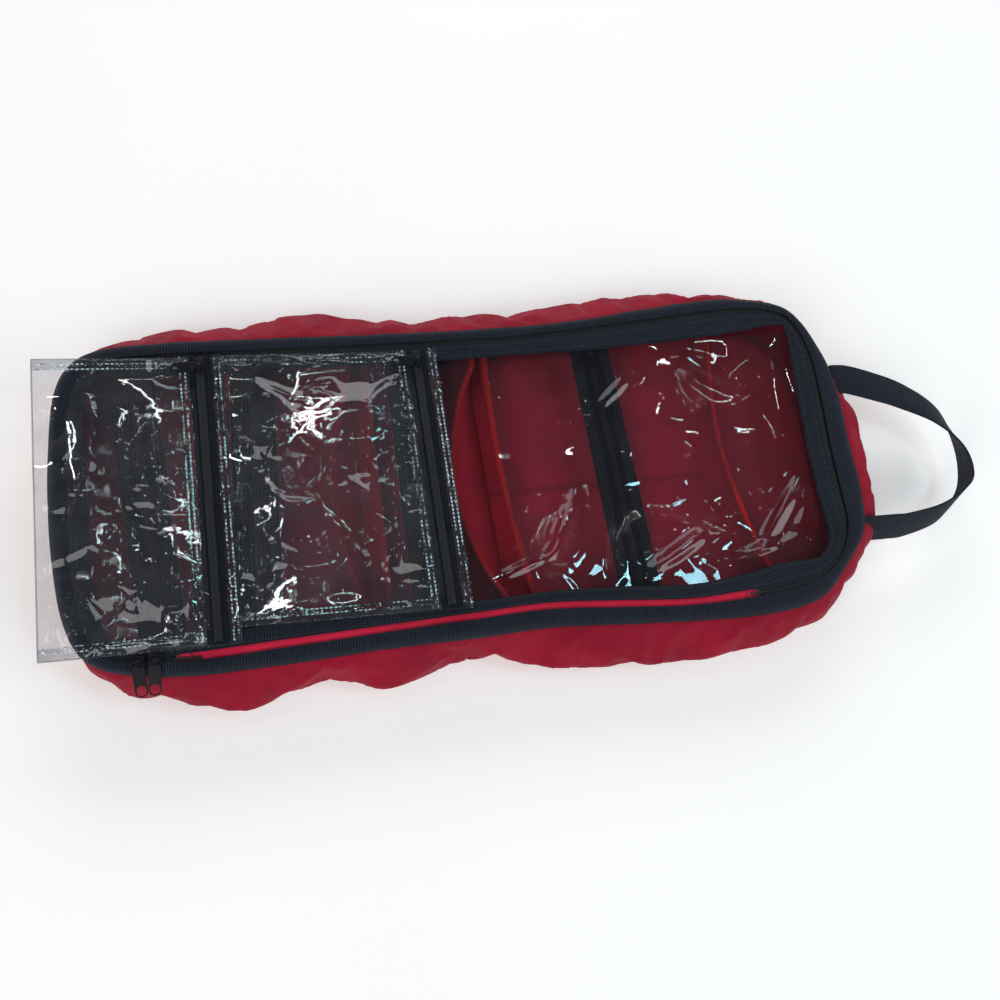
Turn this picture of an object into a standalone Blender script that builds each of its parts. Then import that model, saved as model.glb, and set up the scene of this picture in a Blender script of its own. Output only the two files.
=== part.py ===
"""Soft first aid kit bag: a long shallow tray of sewn cells under a zip-round clear lid.

Metres, +Z up. The origin is the centre of the bag's flat underside. X runs along the
bag towards the carry handle, and the lid hinges along the front edge, on the -Y side.
Two loose clear zip pouches lie on the closed lid.
"""

import math

import bmesh
import bpy
from mathutils import Matrix, Vector

# Driving dimensions
HALF_LENGTH = 0.306  # outer edge of the black binding, from the centre
HALF_WIDTH = 0.1275
CORNER_RADIUS = 0.046
BAND_TOP = 0.060  # top of both webbing bands above the floor
BAND_THICKNESS = 0.0016
BASE_THICKNESS = 0.003
FABRIC_THICKNESS = 0.0015
CLEAR_THICKNESS = 0.0008
GAP = 0.0003  # left between touching pieces

# Body band: flat by the zip, then curling down over the gusset
BODY_BAND_WIDTH = 0.0155
BODY_BAND_FLAT = 0.0075
BODY_BAND_DROP = 0.0050

# Gusset: how far the soft wall stands out past its straight height
GUSSET_TOP = 0.0535
GUSSET_INSET = 0.0035
LONG_SIDE_BULGE = 0.028
LEFT_END_BULGE = 0.006
RIGHT_END_BULGE = 0.022

# Lid, as distances from the bag's centre: left, right, front, rear
HINGE_Y = -0.109
ZIP_FRONT_Y = -0.1085
BODY_OPENING = (-0.2905, 0.2905, -0.1120, 0.1125)
LID_OUTLINE = (-0.2880, 0.2880, -0.1020, 0.1100)
WINDOW_HOLE = (-0.2780, 0.2720, -0.0910, 0.0990)
BODY_OPENING_RADIUS = 0.034
LID_RADIUS = 0.030
WINDOW_RADIUS = 0.019
WINDOW_SEAM = 0.005  # how far the clear sheet runs under its band
STRIP_ENDS = (-0.200, 0.205)  # red hinge strip
LID_ZIP_TAPE = 0.0045
ZIP_LINE = (-0.2893, 0.2893, ZIP_FRONT_Y, 0.1113)
ZIP_LINE_RADIUS = 0.033
TAPE_Z = 0.0573  # underside of the main zip's tapes
TAPE_FABRIC = 0.0007
MAIN_COIL_RISE = 0.0002
BODY_ZIP_TAPE = 0.0085
BODY_ZIP_END = 0.206  # the zip's ends, from the middle of the bag
LID_ZIP_END = 0.262  # the lid's half stops short, clear of the parked sliders

# Sewn cells: each wall is (x at the rear, x at the front, bow towards +X at the middle)
CELL_HALF_DEPTH = 0.116
CELL_WALL_TOP = 0.0330
COVER_Z = 0.0340
CELL_WALLS = {
    "cell_1_right_wall": (-0.212, -0.197, 0.0),
    "cell_2_left_wall": (-0.199, -0.191, 0.001),
    "cell_2_right_wall": (-0.087, -0.087, -0.020),
    "cell_3_left_wall": (-0.074, -0.073, -0.001),
    "cell_3_right_wall": (0.012, 0.020, -0.030),
    "cell_4_left_wall": (0.022, 0.038, -0.006),
    "cell_4_right_wall": (0.213, 0.235, -0.014),
}
INNER_ZIPS = {1: (-0.249, -0.236), 2: (-0.1610, -0.1690), 3: (-0.0420, -0.0400), 4: (0.1100, 0.1210)}
INNER_ZIP_WIDTH = 0.033
INNER_ZIP_HALF = 0.108
INNER_SLIDER_Y = 0.092

# Zip hardware
TAPE_THICKNESS = 0.0012
COIL_WIDTH = 0.0062
COIL_RISE = 0.0018
SLIDER_LENGTH = 0.0095
SLIDER_WIDTH = 0.0084
SLIDER_HEIGHT = 0.0022
BAIL_RISE = 0.0020  # centre of the bail above the slider's plate
BAIL_RADIUS = 0.00055
EYE_RADIUS = 0.0015
EYE_BORE = 0.00085
PULL_WIDTH = 0.0085
PULL_THICKNESS = 0.0011
INNER_PULL_LENGTH = 0.0140
POUCH_PULL_LENGTH = 0.0200
MAIN_PULL_LENGTH = 0.0245
MAIN_PULL_DROOP = 15.0
MAIN_SLIDERS = {1: -0.2495, 2: -0.2380}

# Loose pouches: left, right, front, rear
POUCHES = {1: (-0.3100, -0.1815, -0.1000, 0.1095), 2: (-0.1810, -0.0200, -0.0960, 0.1035)}
POUCH_REST = BAND_TOP + GAP
POUCH_SHEET = 0.0006
POUCH_MOUTH = 0.0075
POUCH_ZIP_WIDTH = 0.030

# Carry handle: the webbing's centre line, with the roll of its width about that line
HANDLE_PIVOT = (0.3100, 0.0, 0.0500)
HANDLE_ROUTE = [
    ((0.3102, 0.0580, 0.0500), 0),
    ((0.3230, 0.0575, 0.0492), 0),
    ((0.3467, 0.0512, 0.0462), 2),
    ((0.3751, 0.0415, 0.0420), 10),
    ((0.4060, 0.0232, 0.0385), 32),
    ((0.4225, -0.0064, 0.0370), 68),
    ((0.4220, -0.0340, 0.0370), 84),
    ((0.4080, -0.0500, 0.0375), 74),
    ((0.3860, -0.0625, 0.0385), 60),
    ((0.3537, -0.0690, 0.0420), 52),
    ((0.3380, -0.0695, 0.0440), 50),
    ((0.3260, -0.0695, 0.0450), 50),
]
HANDLE_WIDTH = 0.025
HANDLE_THICKNESS = 0.0016

RED = (0.42, 0.012, 0.020, 1.0)
DARK_RED = (0.55, 0.015, 0.025, 1.0)
BLACK = (0.012, 0.013, 0.016, 1.0)
GREY_BLACK = (0.03, 0.03, 0.034, 1.0)
CLEAR = (0.85, 0.90, 0.92, 0.35)


def clear_scene():
    """Remove whatever the file starts with."""
    for item in list(bpy.data.objects):
        bpy.data.objects.remove(item, do_unlink=True)
    for group in list(bpy.data.collections):
        bpy.data.collections.remove(group)


def new_collection(name):
    group = bpy.data.collections.new(name)
    bpy.context.scene.collection.children.link(group)
    return group


def material(name, colour, roughness, metallic=0.0):
    """A Principled material with one colour."""
    made = bpy.data.materials.new(name)
    made.use_nodes = True
    shader = made.node_tree.nodes["Principled BSDF"]
    shader.inputs["Base Color"].default_value = colour
    shader.inputs["Roughness"].default_value = roughness
    shader.inputs["Metallic"].default_value = metallic
    shader.inputs["Alpha"].default_value = colour[3]
    made.diffuse_color = colour
    return made


def add_object(name, mesh, look, group):
    """Put a mesh in the scene as a named part with its own material."""
    item = bpy.data.objects.new(name, mesh)
    group.objects.link(item)
    colour, roughness, metallic = look
    mesh.materials.append(material(name, colour, roughness, metallic))
    return item


def grid_mesh(name, columns, rows, place, wrap=False):
    """A quad grid of columns by rows cells, each corner put at place(u, v), 0 to 1."""
    shape = bmesh.new()
    bmesh.ops.create_grid(shape, x_segments=columns, y_segments=rows, size=0.5)
    for corner in shape.verts:
        corner.co = place(corner.co.x + 0.5, corner.co.y + 0.5)
    if wrap:
        bmesh.ops.remove_doubles(shape, verts=shape.verts[:], dist=1e-5)
    mesh = bpy.data.meshes.new(name)
    shape.to_mesh(mesh)
    shape.free()
    return mesh


def sheet(name, columns, rows, place, thickness, look, group, wrap=False):
    """A sheet of even thickness whose middle surface is place(u, v)."""
    item = add_object(name, grid_mesh(name, columns, rows, place, wrap), look, group)
    shell = item.modifiers.new("Thickness", "SOLIDIFY")
    shell.thickness = thickness
    shell.offset = 0.0
    shell.use_even_offset = True
    for face in item.data.polygons:
        face.use_smooth = True
    return item


def outline(bounds, radius, steps):
    """Stations round a rectangle with round corners: (point, outward normal) pairs.

    They run counter-clockwise from the start of the front left corner.
    """
    left, right, front, rear = bounds
    corners = [
        (left + radius, front + radius, 180.0),
        (right - radius, front + radius, 270.0),
        (right - radius, rear - radius, 0.0),
        (left + radius, rear - radius, 90.0),
    ]
    stations = []
    for centre_x, centre_y, start in corners:
        for step in range(steps + 1):
            angle = math.radians(start + 90.0 * step / steps)
            normal = Vector((math.cos(angle), math.sin(angle), 0.0))
            point = Vector((centre_x, centre_y, 0.0)) + radius * normal
            stations.append((point, normal))
    return stations


def swept(name, stations, profile, thickness, look, group, wrap=False):
    """A band swept past stations. profile(normal) gives its (outward, height) points."""
    route = stations + stations[:1] if wrap else stations
    columns = len(route) - 1
    rows = len(profile(route[0][1])) - 1

    def place(u, v):
        point, normal = route[round(u * columns)]
        outward, height = profile(normal)[round(v * rows)]
        return point + normal * outward + Vector((0.0, 0.0, height))

    return sheet(name, columns, rows, place, thickness, look, group, wrap)


def flat_mesh(stations, thickness, hole=None):
    """A plate centred on z = 0 with the stations as its outline and an optional hole."""
    curve = bpy.data.curves.new("plate", "CURVE")
    curve.dimensions = "2D"
    curve.fill_mode = "BOTH"
    curve.extrude = thickness / 2
    for ring in [stations] if hole is None else [stations, hole]:
        spline = curve.splines.new("POLY")
        spline.points.add(len(ring) - 1)
        for point, (place, _) in zip(spline.points, ring):
            point.co = (place.x, place.y, 0.0, 1.0)
        spline.use_cyclic_u = True
    return mesh_from_curve(curve)


def flat_plate(name, stations, height, thickness, look, group, hole=None):
    """A plate standing on the given height."""
    item = add_object(name, flat_mesh(stations, thickness, hole), look, group)
    item.location.z = height + thickness / 2
    return item


def mesh_from_curve(curve):
    """The closed mesh of a curve, with its loose caps welded on."""
    holder = bpy.data.objects.new("outline_curve", curve)
    bpy.context.scene.collection.objects.link(holder)
    graph = bpy.context.evaluated_depsgraph_get()
    mesh = bpy.data.meshes.new_from_object(holder.evaluated_get(graph))
    bpy.data.objects.remove(holder)
    weld(mesh)
    return mesh


def weld(mesh):
    shape = bmesh.new()
    shape.from_mesh(mesh)
    bmesh.ops.remove_doubles(shape, verts=shape.verts[:], dist=1e-6)
    bmesh.ops.recalc_face_normals(shape, faces=shape.faces[:])
    shape.to_mesh(mesh)
    shape.free()


def extruded(points, length):
    """A prism along +X and -X from its closed (y, z) outline."""
    curve = bpy.data.curves.new("section", "CURVE")
    curve.dimensions = "2D"
    curve.fill_mode = "BOTH"
    curve.extrude = length / 2
    spline = curve.splines.new("POLY")
    spline.points.add(len(points) - 1)
    for point, (y, z) in zip(spline.points, points):
        point.co = (y, z, 0.0, 1.0)
    spline.use_cyclic_u = True
    mesh = mesh_from_curve(curve)
    mesh.transform(Matrix(((0, 0, 1, 0), (1, 0, 0, 0), (0, 1, 0, 0), (0, 0, 0, 1))))
    return mesh


def box_mesh(size, centre):
    shape = bmesh.new()
    bmesh.ops.create_cube(shape, size=1.0)
    for corner in shape.verts:
        corner.co = Vector(centre) + Vector([c * s for c, s in zip(corner.co, size)])
    mesh = bpy.data.meshes.new("box")
    shape.to_mesh(mesh)
    shape.free()
    return mesh


def soften(mesh, width):
    """Bevel every edge of a box."""
    shape = bmesh.new()
    shape.from_mesh(mesh)
    bmesh.ops.bevel(shape, geom=shape.edges[:], offset=width, segments=2, affect="EDGES", profile=0.5)
    shape.to_mesh(mesh)
    shape.free()


def joined(meshes, difference=()):
    """One closed mesh: the union of meshes, less those in difference."""
    body = bpy.data.objects.new("union", meshes[0])
    bpy.context.scene.collection.objects.link(body)
    tools = []
    steps = [(mesh, "UNION") for mesh in meshes[1:]] + [(mesh, "DIFFERENCE") for mesh in difference]
    for mesh, operation in steps:
        tool = bpy.data.objects.new("tool", mesh)
        bpy.context.scene.collection.objects.link(tool)
        tools.append(tool)
        step = body.modifiers.new(operation, "BOOLEAN")
        step.operation = operation
        step.solver = "EXACT"
        step.object = tool
    graph = bpy.context.evaluated_depsgraph_get()
    mesh = bpy.data.meshes.new_from_object(body.evaluated_get(graph))
    for item in [body] + tools:
        bpy.data.objects.remove(item)
    weld(mesh)
    return mesh


def slider_mesh():
    """A zip slider: origin on the coil's top, travel along X, the bail standing on its plate."""
    plate = box_mesh((SLIDER_LENGTH, SLIDER_WIDTH, SLIDER_HEIGHT), (0, 0, GAP + SLIDER_HEIGHT / 2))
    soften(plate, 0.0007)
    top = GAP + SLIDER_HEIGHT
    bar_height = top + BAIL_RISE
    span = 0.0030
    bar = box_mesh((2 * span, 2 * BAIL_RADIUS, 2 * BAIL_RADIUS), (0, 0, bar_height))
    legs = []
    for side in (-1, 1):
        leg_height = BAIL_RISE + BAIL_RADIUS + 0.0005
        centre = (side * (span + 0.0003), 0, top - 0.0005 + leg_height / 2)
        legs.append(box_mesh((0.0014, 0.0016, leg_height), centre))
    return joined([plate, bar] + legs)


def pull_mesh(length):
    """A pull tab lying towards +Y, with its eye on the X axis."""
    ring = [(EYE_RADIUS * math.cos(a), EYE_RADIUS * math.sin(a)) for a in circle_angles(12)]
    bore = [(EYE_BORE * math.cos(a), EYE_BORE * math.sin(a)) for a in circle_angles(12)]
    eye = extruded(ring, 0.0030)
    hole = extruded(bore, 0.0060)
    neck = box_mesh((0.0030, 0.0030, PULL_THICKNESS), (0, EYE_RADIUS + 0.0008, 0))
    half = PULL_WIDTH / 2
    start = EYE_RADIUS + 0.0012
    tab_outline = outline((-half, half, start, length), 0.0018, 2)
    tab = flat_mesh(tab_outline, PULL_THICKNESS)
    grip = box_mesh((0.0040, 0.0030, 0.0040), (0, length - 0.0045, 0))
    return joined([eye, neck, tab], [hole, grip])


def circle_angles(count):
    return [2 * math.pi * (i + 0.5) / count for i in range(count)]


def place_copy(name, mesh, matrix, look, group):
    item = add_object(name, mesh.copy(), look, group)
    item.matrix_world = matrix
    return item


def pivot(name, place, group):
    """An empty on a joint's axis, for the pieces that move with it."""
    empty = bpy.data.objects.new(name, None)
    empty.location = place
    empty.empty_display_size = 0.02
    group.objects.link(empty)
    return empty


def hang(items, empty, place):
    """Parent items to the empty at place without moving them."""
    for item in items:
        item.parent = empty
        item.matrix_parent_inverse = Matrix.Translation(-Vector(place))


def make_base(group):
    bounds = (-HALF_LENGTH + 0.005, HALF_LENGTH - 0.005, -HALF_WIDTH + 0.003, HALF_WIDTH - 0.003)
    stations = outline(bounds, CORNER_RADIUS, 6)
    flat_plate("base_panel", stations, 0.0, BASE_THICKNESS, (RED, 0.7, 0.0), group)


def gusset_profile(normal):
    """Bowed wall section, standing out by the bulge of the side that normal faces."""
    end_bulge = RIGHT_END_BULGE if normal.x > 0 else LEFT_END_BULGE
    bulge = end_bulge * normal.x**2 + LONG_SIDE_BULGE * normal.y**2
    foot = BASE_THICKNESS + GAP + FABRIC_THICKNESS / 2
    points = []
    for row in range(7):
        v = row / 6
        outward = bulge * math.sin(math.pi * v) - GUSSET_INSET
        points.append((outward, foot + v * (GUSSET_TOP - foot)))
    return points


def make_gussets(group):
    """Four soft side walls: two long sides, and two ends that take the round corners."""
    bounds = (-HALF_LENGTH, HALF_LENGTH, -HALF_WIDTH, HALF_WIDTH)
    steps = 6
    stations = outline(bounds, CORNER_RADIUS, steps)
    per_corner = steps + 1
    front_left, front_right, rear_right, rear_left = [
        stations[i * per_corner : (i + 1) * per_corner] for i in range(4)
    ]
    look = (RED, 0.65, 0.0)
    swept("left_gusset", rear_left + front_left, gusset_profile, FABRIC_THICKNESS, look, group)
    swept("right_gusset", front_right + rear_right, gusset_profile, FABRIC_THICKNESS, look, group)
    half = HALF_LENGTH - CORNER_RADIUS - GAP
    for name, side in (("front_gusset", -1), ("rear_gusset", 1)):
        normal = Vector((0.0, side, 0.0))
        ends = [Vector((x, side * HALF_WIDTH, 0.0)) for x in (side * half, -side * half)]
        run = [(ends[0].lerp(ends[1], i / 4), normal) for i in range(5)]
        swept(name, run, gusset_profile, FABRIC_THICKNESS, look, group)


def make_body_band(group):
    """Black binding round the tray's mouth: flat by the zip, curling down outside."""
    mid = BAND_TOP - BAND_THICKNESS / 2

    def profile(_):
        return [(0.0, mid), (BODY_BAND_FLAT, mid), (BODY_BAND_WIDTH, mid - BODY_BAND_DROP)]

    stations = outline(BODY_OPENING, BODY_OPENING_RADIUS, 6)
    swept("body_band", stations, profile, BAND_THICKNESS, (BLACK, 0.8, 0.0), group, wrap=True)


def zip_run(bounds, radius, end_x):
    """Stations from end_x left of the middle round the left, rear and right to its mirror."""
    steps = 6
    corners = outline(bounds, radius, steps)
    front = bounds[2]
    front_left, front_right, rear_right, rear_left = [
        corners[i * (steps + 1) : (i + 1) * (steps + 1)] for i in range(4)
    ]
    loop = list(reversed(front_left)) + list(reversed(rear_left))
    loop += list(reversed(rear_right)) + list(reversed(front_right))
    loop = [station for station in loop if station[0].y > 0 or abs(station[0].x) >= end_x]
    if end_x < bounds[1] - radius:
        down = Vector((0.0, -1.0, 0.0))
        loop.insert(0, (Vector((-end_x, front, 0.0)), down))
        loop.append((Vector((end_x, front, 0.0)), down))
    return loop


def make_zip_tape(name, side, width, end_x, group):
    """Half of the main zip: a thin tape on one side of the zip line, thicker at the coil."""
    near = side * (GAP / 2 + 0.0001)
    coil = near + side * 0.0015
    far = near + side * width
    tape_top = TAPE_Z + TAPE_FABRIC
    coil_top = tape_top + MAIN_COIL_RISE
    section = [(near, TAPE_Z), (far, TAPE_Z), (far, tape_top)]
    section += [(coil, tape_top), (coil, coil_top), (near, coil_top)]
    route = zip_run(ZIP_LINE, ZIP_LINE_RADIUS, end_x)
    return closed_sweep(name, route, section, (BLACK, 0.6, 0.0), group)


def closed_sweep(name, stations, section, look, group):
    """A solid swept past stations from a closed (outward, height) section, ends capped."""
    count = len(section)
    columns = len(stations) - 1

    def place(u, v):
        point, normal = stations[round(u * columns)]
        outward, height = section[round(v * count) % count]
        return point + normal * outward + Vector((0.0, 0.0, height))

    mesh = grid_mesh(name, columns, count, place, wrap=True)
    shape = bmesh.new()
    shape.from_mesh(mesh)
    bmesh.ops.holes_fill(shape, edges=[e for e in shape.edges if e.is_boundary], sides=0)
    bmesh.ops.recalc_face_normals(shape, faces=shape.faces[:])
    shape.to_mesh(mesh)
    shape.free()
    return add_object(name, mesh, look, group)


def make_hinge_strip(group):
    """The red cloth strip that joins the lid to the body and folds as the lid opens."""
    left, right = STRIP_ENDS
    front = BODY_OPENING[2] + GAP
    rear = LID_OUTLINE[2] - GAP
    size = (right - left, rear - front, 0.0008)
    centre = ((left + right) / 2, (front + rear) / 2, BAND_TOP - 0.0002)
    mesh = box_mesh(size, (centre[0], centre[1], centre[2] - size[2] / 2))
    add_object("hinge_strip", mesh, (RED, 0.7, 0.0), group)


def bowed_x(rear_x, front_x, bow, y):
    """The x of a cell wall at y, straight from rear to front plus a bow."""
    along = 0.5 - y / 0.2
    return rear_x + (front_x - rear_x) * along + bow * max(0.0, 1.0 - (y / 0.1) ** 2)


def make_cell_walls(group):
    foot = BASE_THICKNESS + GAP + FABRIC_THICKNESS / 2
    for name, (rear_x, front_x, bow) in CELL_WALLS.items():

        def place(u, v, rear_x=rear_x, front_x=front_x, bow=bow):
            y = CELL_HALF_DEPTH * (1 - 2 * u)
            x = bowed_x(rear_x, front_x, bow * v, y)
            return Vector((x, y, foot + v * (CELL_WALL_TOP - foot)))

        sheet(name, 10, 2, place, FABRIC_THICKNESS, (DARK_RED, 0.6, 0.0), group)


def make_covers(group):
    """Clear covers over the cells: one sheet each side of each cell's zip, and one at the end."""
    inside_left = (-0.288, -0.288, 0.0)
    inside_right = (0.290, 0.290, 0.0)
    walls = CELL_WALLS
    cells = {
        1: (inside_left, walls["cell_1_right_wall"]),
        2: (walls["cell_2_left_wall"], walls["cell_2_right_wall"]),
        3: (walls["cell_3_left_wall"], walls["cell_3_right_wall"]),
        4: (walls["cell_4_left_wall"], walls["cell_4_right_wall"]),
    }
    reach = INNER_ZIP_WIDTH / 2 + GAP
    for number, (left, right) in cells.items():
        rear_x, front_x = INNER_ZIPS[number]
        zip_left = (rear_x - reach, front_x - reach, 0.0)
        zip_right = (rear_x + reach, front_x + reach, 0.0)
        cover(f"cell_{number}_left_cover", left, zip_left, group)
        cover(f"cell_{number}_right_cover", zip_right, right, group)
    beyond = walls["cell_4_right_wall"]
    cover("end_pocket_cover", (beyond[0] + 0.002, beyond[1] + 0.002, beyond[2]), inside_right, group)


def cover(name, left, right, group):
    """A clear sheet between two edge lines, each given as a cell wall is."""

    def place(u, v):
        y = INNER_ZIP_HALF * (2 * v - 1)
        low = bowed_x(*left, y)
        high = bowed_x(*right, y)
        return Vector((low + (high - low) * u, y, COVER_Z))

    sheet(name, 2, 8, place, CLEAR_THICKNESS, (CLEAR, 0.08, 0.0), group)


def zip_section(width):
    """Closed (y, z) outline of a whole zip: flat tape with the coil along its middle."""
    half = width / 2
    coil = COIL_WIDTH / 2
    top = TAPE_THICKNESS + COIL_RISE
    return [
        (-half, 0.0),
        (half, 0.0),
        (half, TAPE_THICKNESS),
        (coil, TAPE_THICKNESS),
        (coil - 0.0010, top),
        (-coil + 0.0010, top),
        (-coil, TAPE_THICKNESS),
        (-half, TAPE_THICKNESS),
    ]


def run_matrix(x, y, z, angle):
    """Place a piece made along X so that it runs along the bag's depth, turned by angle."""
    return Matrix.Translation((x, y, z)) @ Matrix.Rotation(angle, 4, "Z")


def make_inner_zips(group, slider):
    """The four cell zips, each with its slider parked at the rear and its pull lying flat."""
    pull = pull_mesh(INNER_PULL_LENGTH)
    floor = COVER_Z - TAPE_THICKNESS / 2
    for number, (rear_x, front_x) in INNER_ZIPS.items():
        lean = math.atan2(rear_x - front_x, 0.2)
        angle = math.pi / 2 - lean
        centre_x = (rear_x + front_x) / 2
        mesh = extruded(zip_section(INNER_ZIP_WIDTH), 2 * INNER_ZIP_HALF)
        matrix = run_matrix(centre_x, 0.0, floor, angle)
        place_copy(f"inner_zip_{number}", mesh, matrix, (BLACK, 0.6, 0.0), group)
        slider_x = centre_x + math.tan(lean) * INNER_SLIDER_Y
        coil_top = floor + TAPE_THICKNESS + COIL_RISE
        matrix = run_matrix(slider_x, INNER_SLIDER_Y, coil_top, angle)
        place_copy(f"inner_slider_{number}", slider, matrix, (GREY_BLACK, 0.35, 0.6), group)
        lift = Matrix.Translation((0, 0, GAP + SLIDER_HEIGHT + BAIL_RISE))
        place_copy(f"inner_pull_{number}", pull, matrix @ lift, (GREY_BLACK, 0.35, 0.6), group)


def make_lid(group):
    """The clear window, its webbing band and the lid's half of the main zip, on the hinge."""
    window = [edge + WINDOW_SEAM * side for edge, side in zip(WINDOW_HOLE, (-1, 1, -1, 1))]
    band_floor = BAND_TOP - BAND_THICKNESS
    clear_floor = band_floor - GAP - CLEAR_THICKNESS
    stations = outline(window, WINDOW_RADIUS + WINDOW_SEAM, 4)
    clear = flat_plate(
        "lid_window", stations, clear_floor, CLEAR_THICKNESS, (CLEAR, 0.06, 0.0), group
    )
    outer = outline(LID_OUTLINE, LID_RADIUS, 6)
    hole = outline(WINDOW_HOLE, WINDOW_RADIUS, 3)
    band = flat_plate(
        "lid_band", outer, band_floor, BAND_THICKNESS, (BLACK, 0.8, 0.0), group, hole
    )
    tape = make_zip_tape("lid_zip_tape", -1, LID_ZIP_TAPE, LID_ZIP_END, group)
    place = (0.0, HINGE_Y, BAND_TOP)
    hang([clear, band, tape], pivot("lid_hinge", place, group), place)


def make_main_sliders(group, slider):
    """Two sliders parked side by side where the main zip starts, their pulls hanging outside."""
    pull = pull_mesh(MAIN_PULL_LENGTH)
    half_turn = Matrix.Rotation(math.pi, 4, "Z")
    droop = Matrix.Rotation(math.radians(-MAIN_PULL_DROOP), 4, "X")
    for number, x in MAIN_SLIDERS.items():
        matrix = Matrix.Translation((x, ZIP_FRONT_Y, BAND_TOP)) @ half_turn
        place_copy(f"main_slider_{number}", slider, matrix, (GREY_BLACK, 0.35, 0.6), group)
        lift = Matrix.Translation((0, 0, GAP + SLIDER_HEIGHT + BAIL_RISE))
        place_copy(f"main_pull_{number}", pull, matrix @ lift @ droop, (GREY_BLACK, 0.35, 0.6), group)


def make_pouch(number, bounds, slider, group):
    """A flat clear pouch: back and front sheets, the zip in its mouth and the strip behind it."""
    left, right, front, rear = bounds
    depth = rear - front
    middle_y = (front + rear) / 2
    zip_left = right - POUCH_ZIP_WIDTH
    back_mid = POUCH_REST + POUCH_SHEET / 2
    front_low = back_mid + POUCH_SHEET + GAP
    front_high = POUCH_REST + POUCH_MOUTH
    look = (CLEAR, 0.06, 0.0)

    def flat(u, v):
        return Vector((left + (right - left) * u, front + depth * v, back_mid))

    def raised(u, v):
        x = left + (zip_left - GAP - left) * u
        lift = front_low + (front_high - front_low) * math.sin(u * math.pi / 2)
        return Vector((x, front + depth * v, lift))

    back = sheet(f"pouch_{number}_back", 2, 2, flat, POUCH_SHEET, look, group)
    front_sheet = sheet(f"pouch_{number}_front", 6, 2, raised, POUCH_SHEET, look, group)
    zip_floor = front_high - TAPE_THICKNESS / 2
    mesh = extruded(zip_section(POUCH_ZIP_WIDTH), depth)
    angle = math.pi / 2
    centre_x = zip_left + POUCH_ZIP_WIDTH / 2
    matrix = run_matrix(centre_x, middle_y, zip_floor, angle)
    closure = place_copy(f"pouch_{number}_zip", mesh, matrix, (BLACK, 0.6, 0.0), group)
    foot = POUCH_REST + POUCH_SHEET + GAP
    height = zip_floor - GAP - foot
    mesh = box_mesh((0.0010, depth, height), (right - 0.0006, middle_y, foot + height / 2))
    strip = add_object(f"pouch_{number}_edge_strip", mesh, look, group)
    place = ((left + right) / 2, middle_y, POUCH_REST)
    hang([back, front_sheet, closure, strip], pivot(f"pouch_{number}_base", place, group), place)
    coil_top = zip_floor + TAPE_THICKNESS + COIL_RISE
    matrix = run_matrix(centre_x, rear - 0.013, coil_top, angle)
    place_copy(f"pouch_{number}_slider", slider, matrix, (GREY_BLACK, 0.35, 0.6), group)
    pull = pull_mesh(POUCH_PULL_LENGTH)
    lift = Matrix.Translation((0, 0, GAP + SLIDER_HEIGHT + BAIL_RISE))
    place_copy(f"pouch_{number}_pull", pull, matrix @ lift, (GREY_BLACK, 0.35, 0.6), group)


def catmull_rom(points, t):
    """A point and roll on the smooth line through (position, roll) pairs, t from 0 to 1."""
    spans = len(points) - 1
    place = min(t * spans, spans - 1e-9)
    index = int(place)
    local = place - index
    rows = []
    for step in (-1, 0, 1, 2):
        position, roll = points[min(max(index + step, 0), spans)]
        rows.append(Vector((*position, roll)))
    a, b, c, d = rows
    bend = 2 * b + (c - a) * local + (2 * a - 5 * b + 4 * c - d) * local**2
    bend += (3 * b - a - 3 * c + d) * local**3
    return bend / 2


def make_handle(group):
    """A webbing loop sewn to the right end, flat at its rear root and rolled on edge at its tip."""

    def place(u, v):
        here = catmull_rom(HANDLE_ROUTE, u)
        ahead = catmull_rom(HANDLE_ROUTE, min(u + 0.01, 1.0))
        behind = catmull_rom(HANDLE_ROUTE, max(u - 0.01, 0.0))
        along = (ahead - behind).xyz.normalized()
        level = along.cross(Vector((0, 0, 1))).normalized()
        upright = level.cross(along)
        roll = math.radians(here.w)
        width = (level * math.cos(roll) + upright * math.sin(roll)) * HANDLE_WIDTH
        return here.xyz + width * (v - 0.5)

    strap = sheet("carry_handle", 32, 1, place, HANDLE_THICKNESS, (BLACK, 0.8, 0.0), group)
    hang([strap], pivot("handle_pivot", HANDLE_PIVOT, group), HANDLE_PIVOT)


def main():
    clear_scene()
    group = new_collection("First aid kit")
    slider = slider_mesh()
    make_base(group)
    make_gussets(group)
    make_body_band(group)
    make_zip_tape("body_zip_tape", 1, BODY_ZIP_TAPE, BODY_ZIP_END, group)
    make_hinge_strip(group)
    make_cell_walls(group)
    make_covers(group)
    make_inner_zips(group, slider)
    make_lid(group)
    make_main_sliders(group, slider)
    for number, bounds in POUCHES.items():
        make_pouch(number, bounds, slider, group)
    make_handle(group)


main()
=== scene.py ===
"""Looks of the first aid kit: red nylon tray, webbing, zips, clear vinyl, light and camera.

Every length is in metres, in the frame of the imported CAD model: origin under the middle of the
bag, +X towards the handle, the lid's hinge along -Y and +Z up.
"""

import math
import random

import bmesh
import bpy
from mathutils import Matrix, Vector, noise


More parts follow.
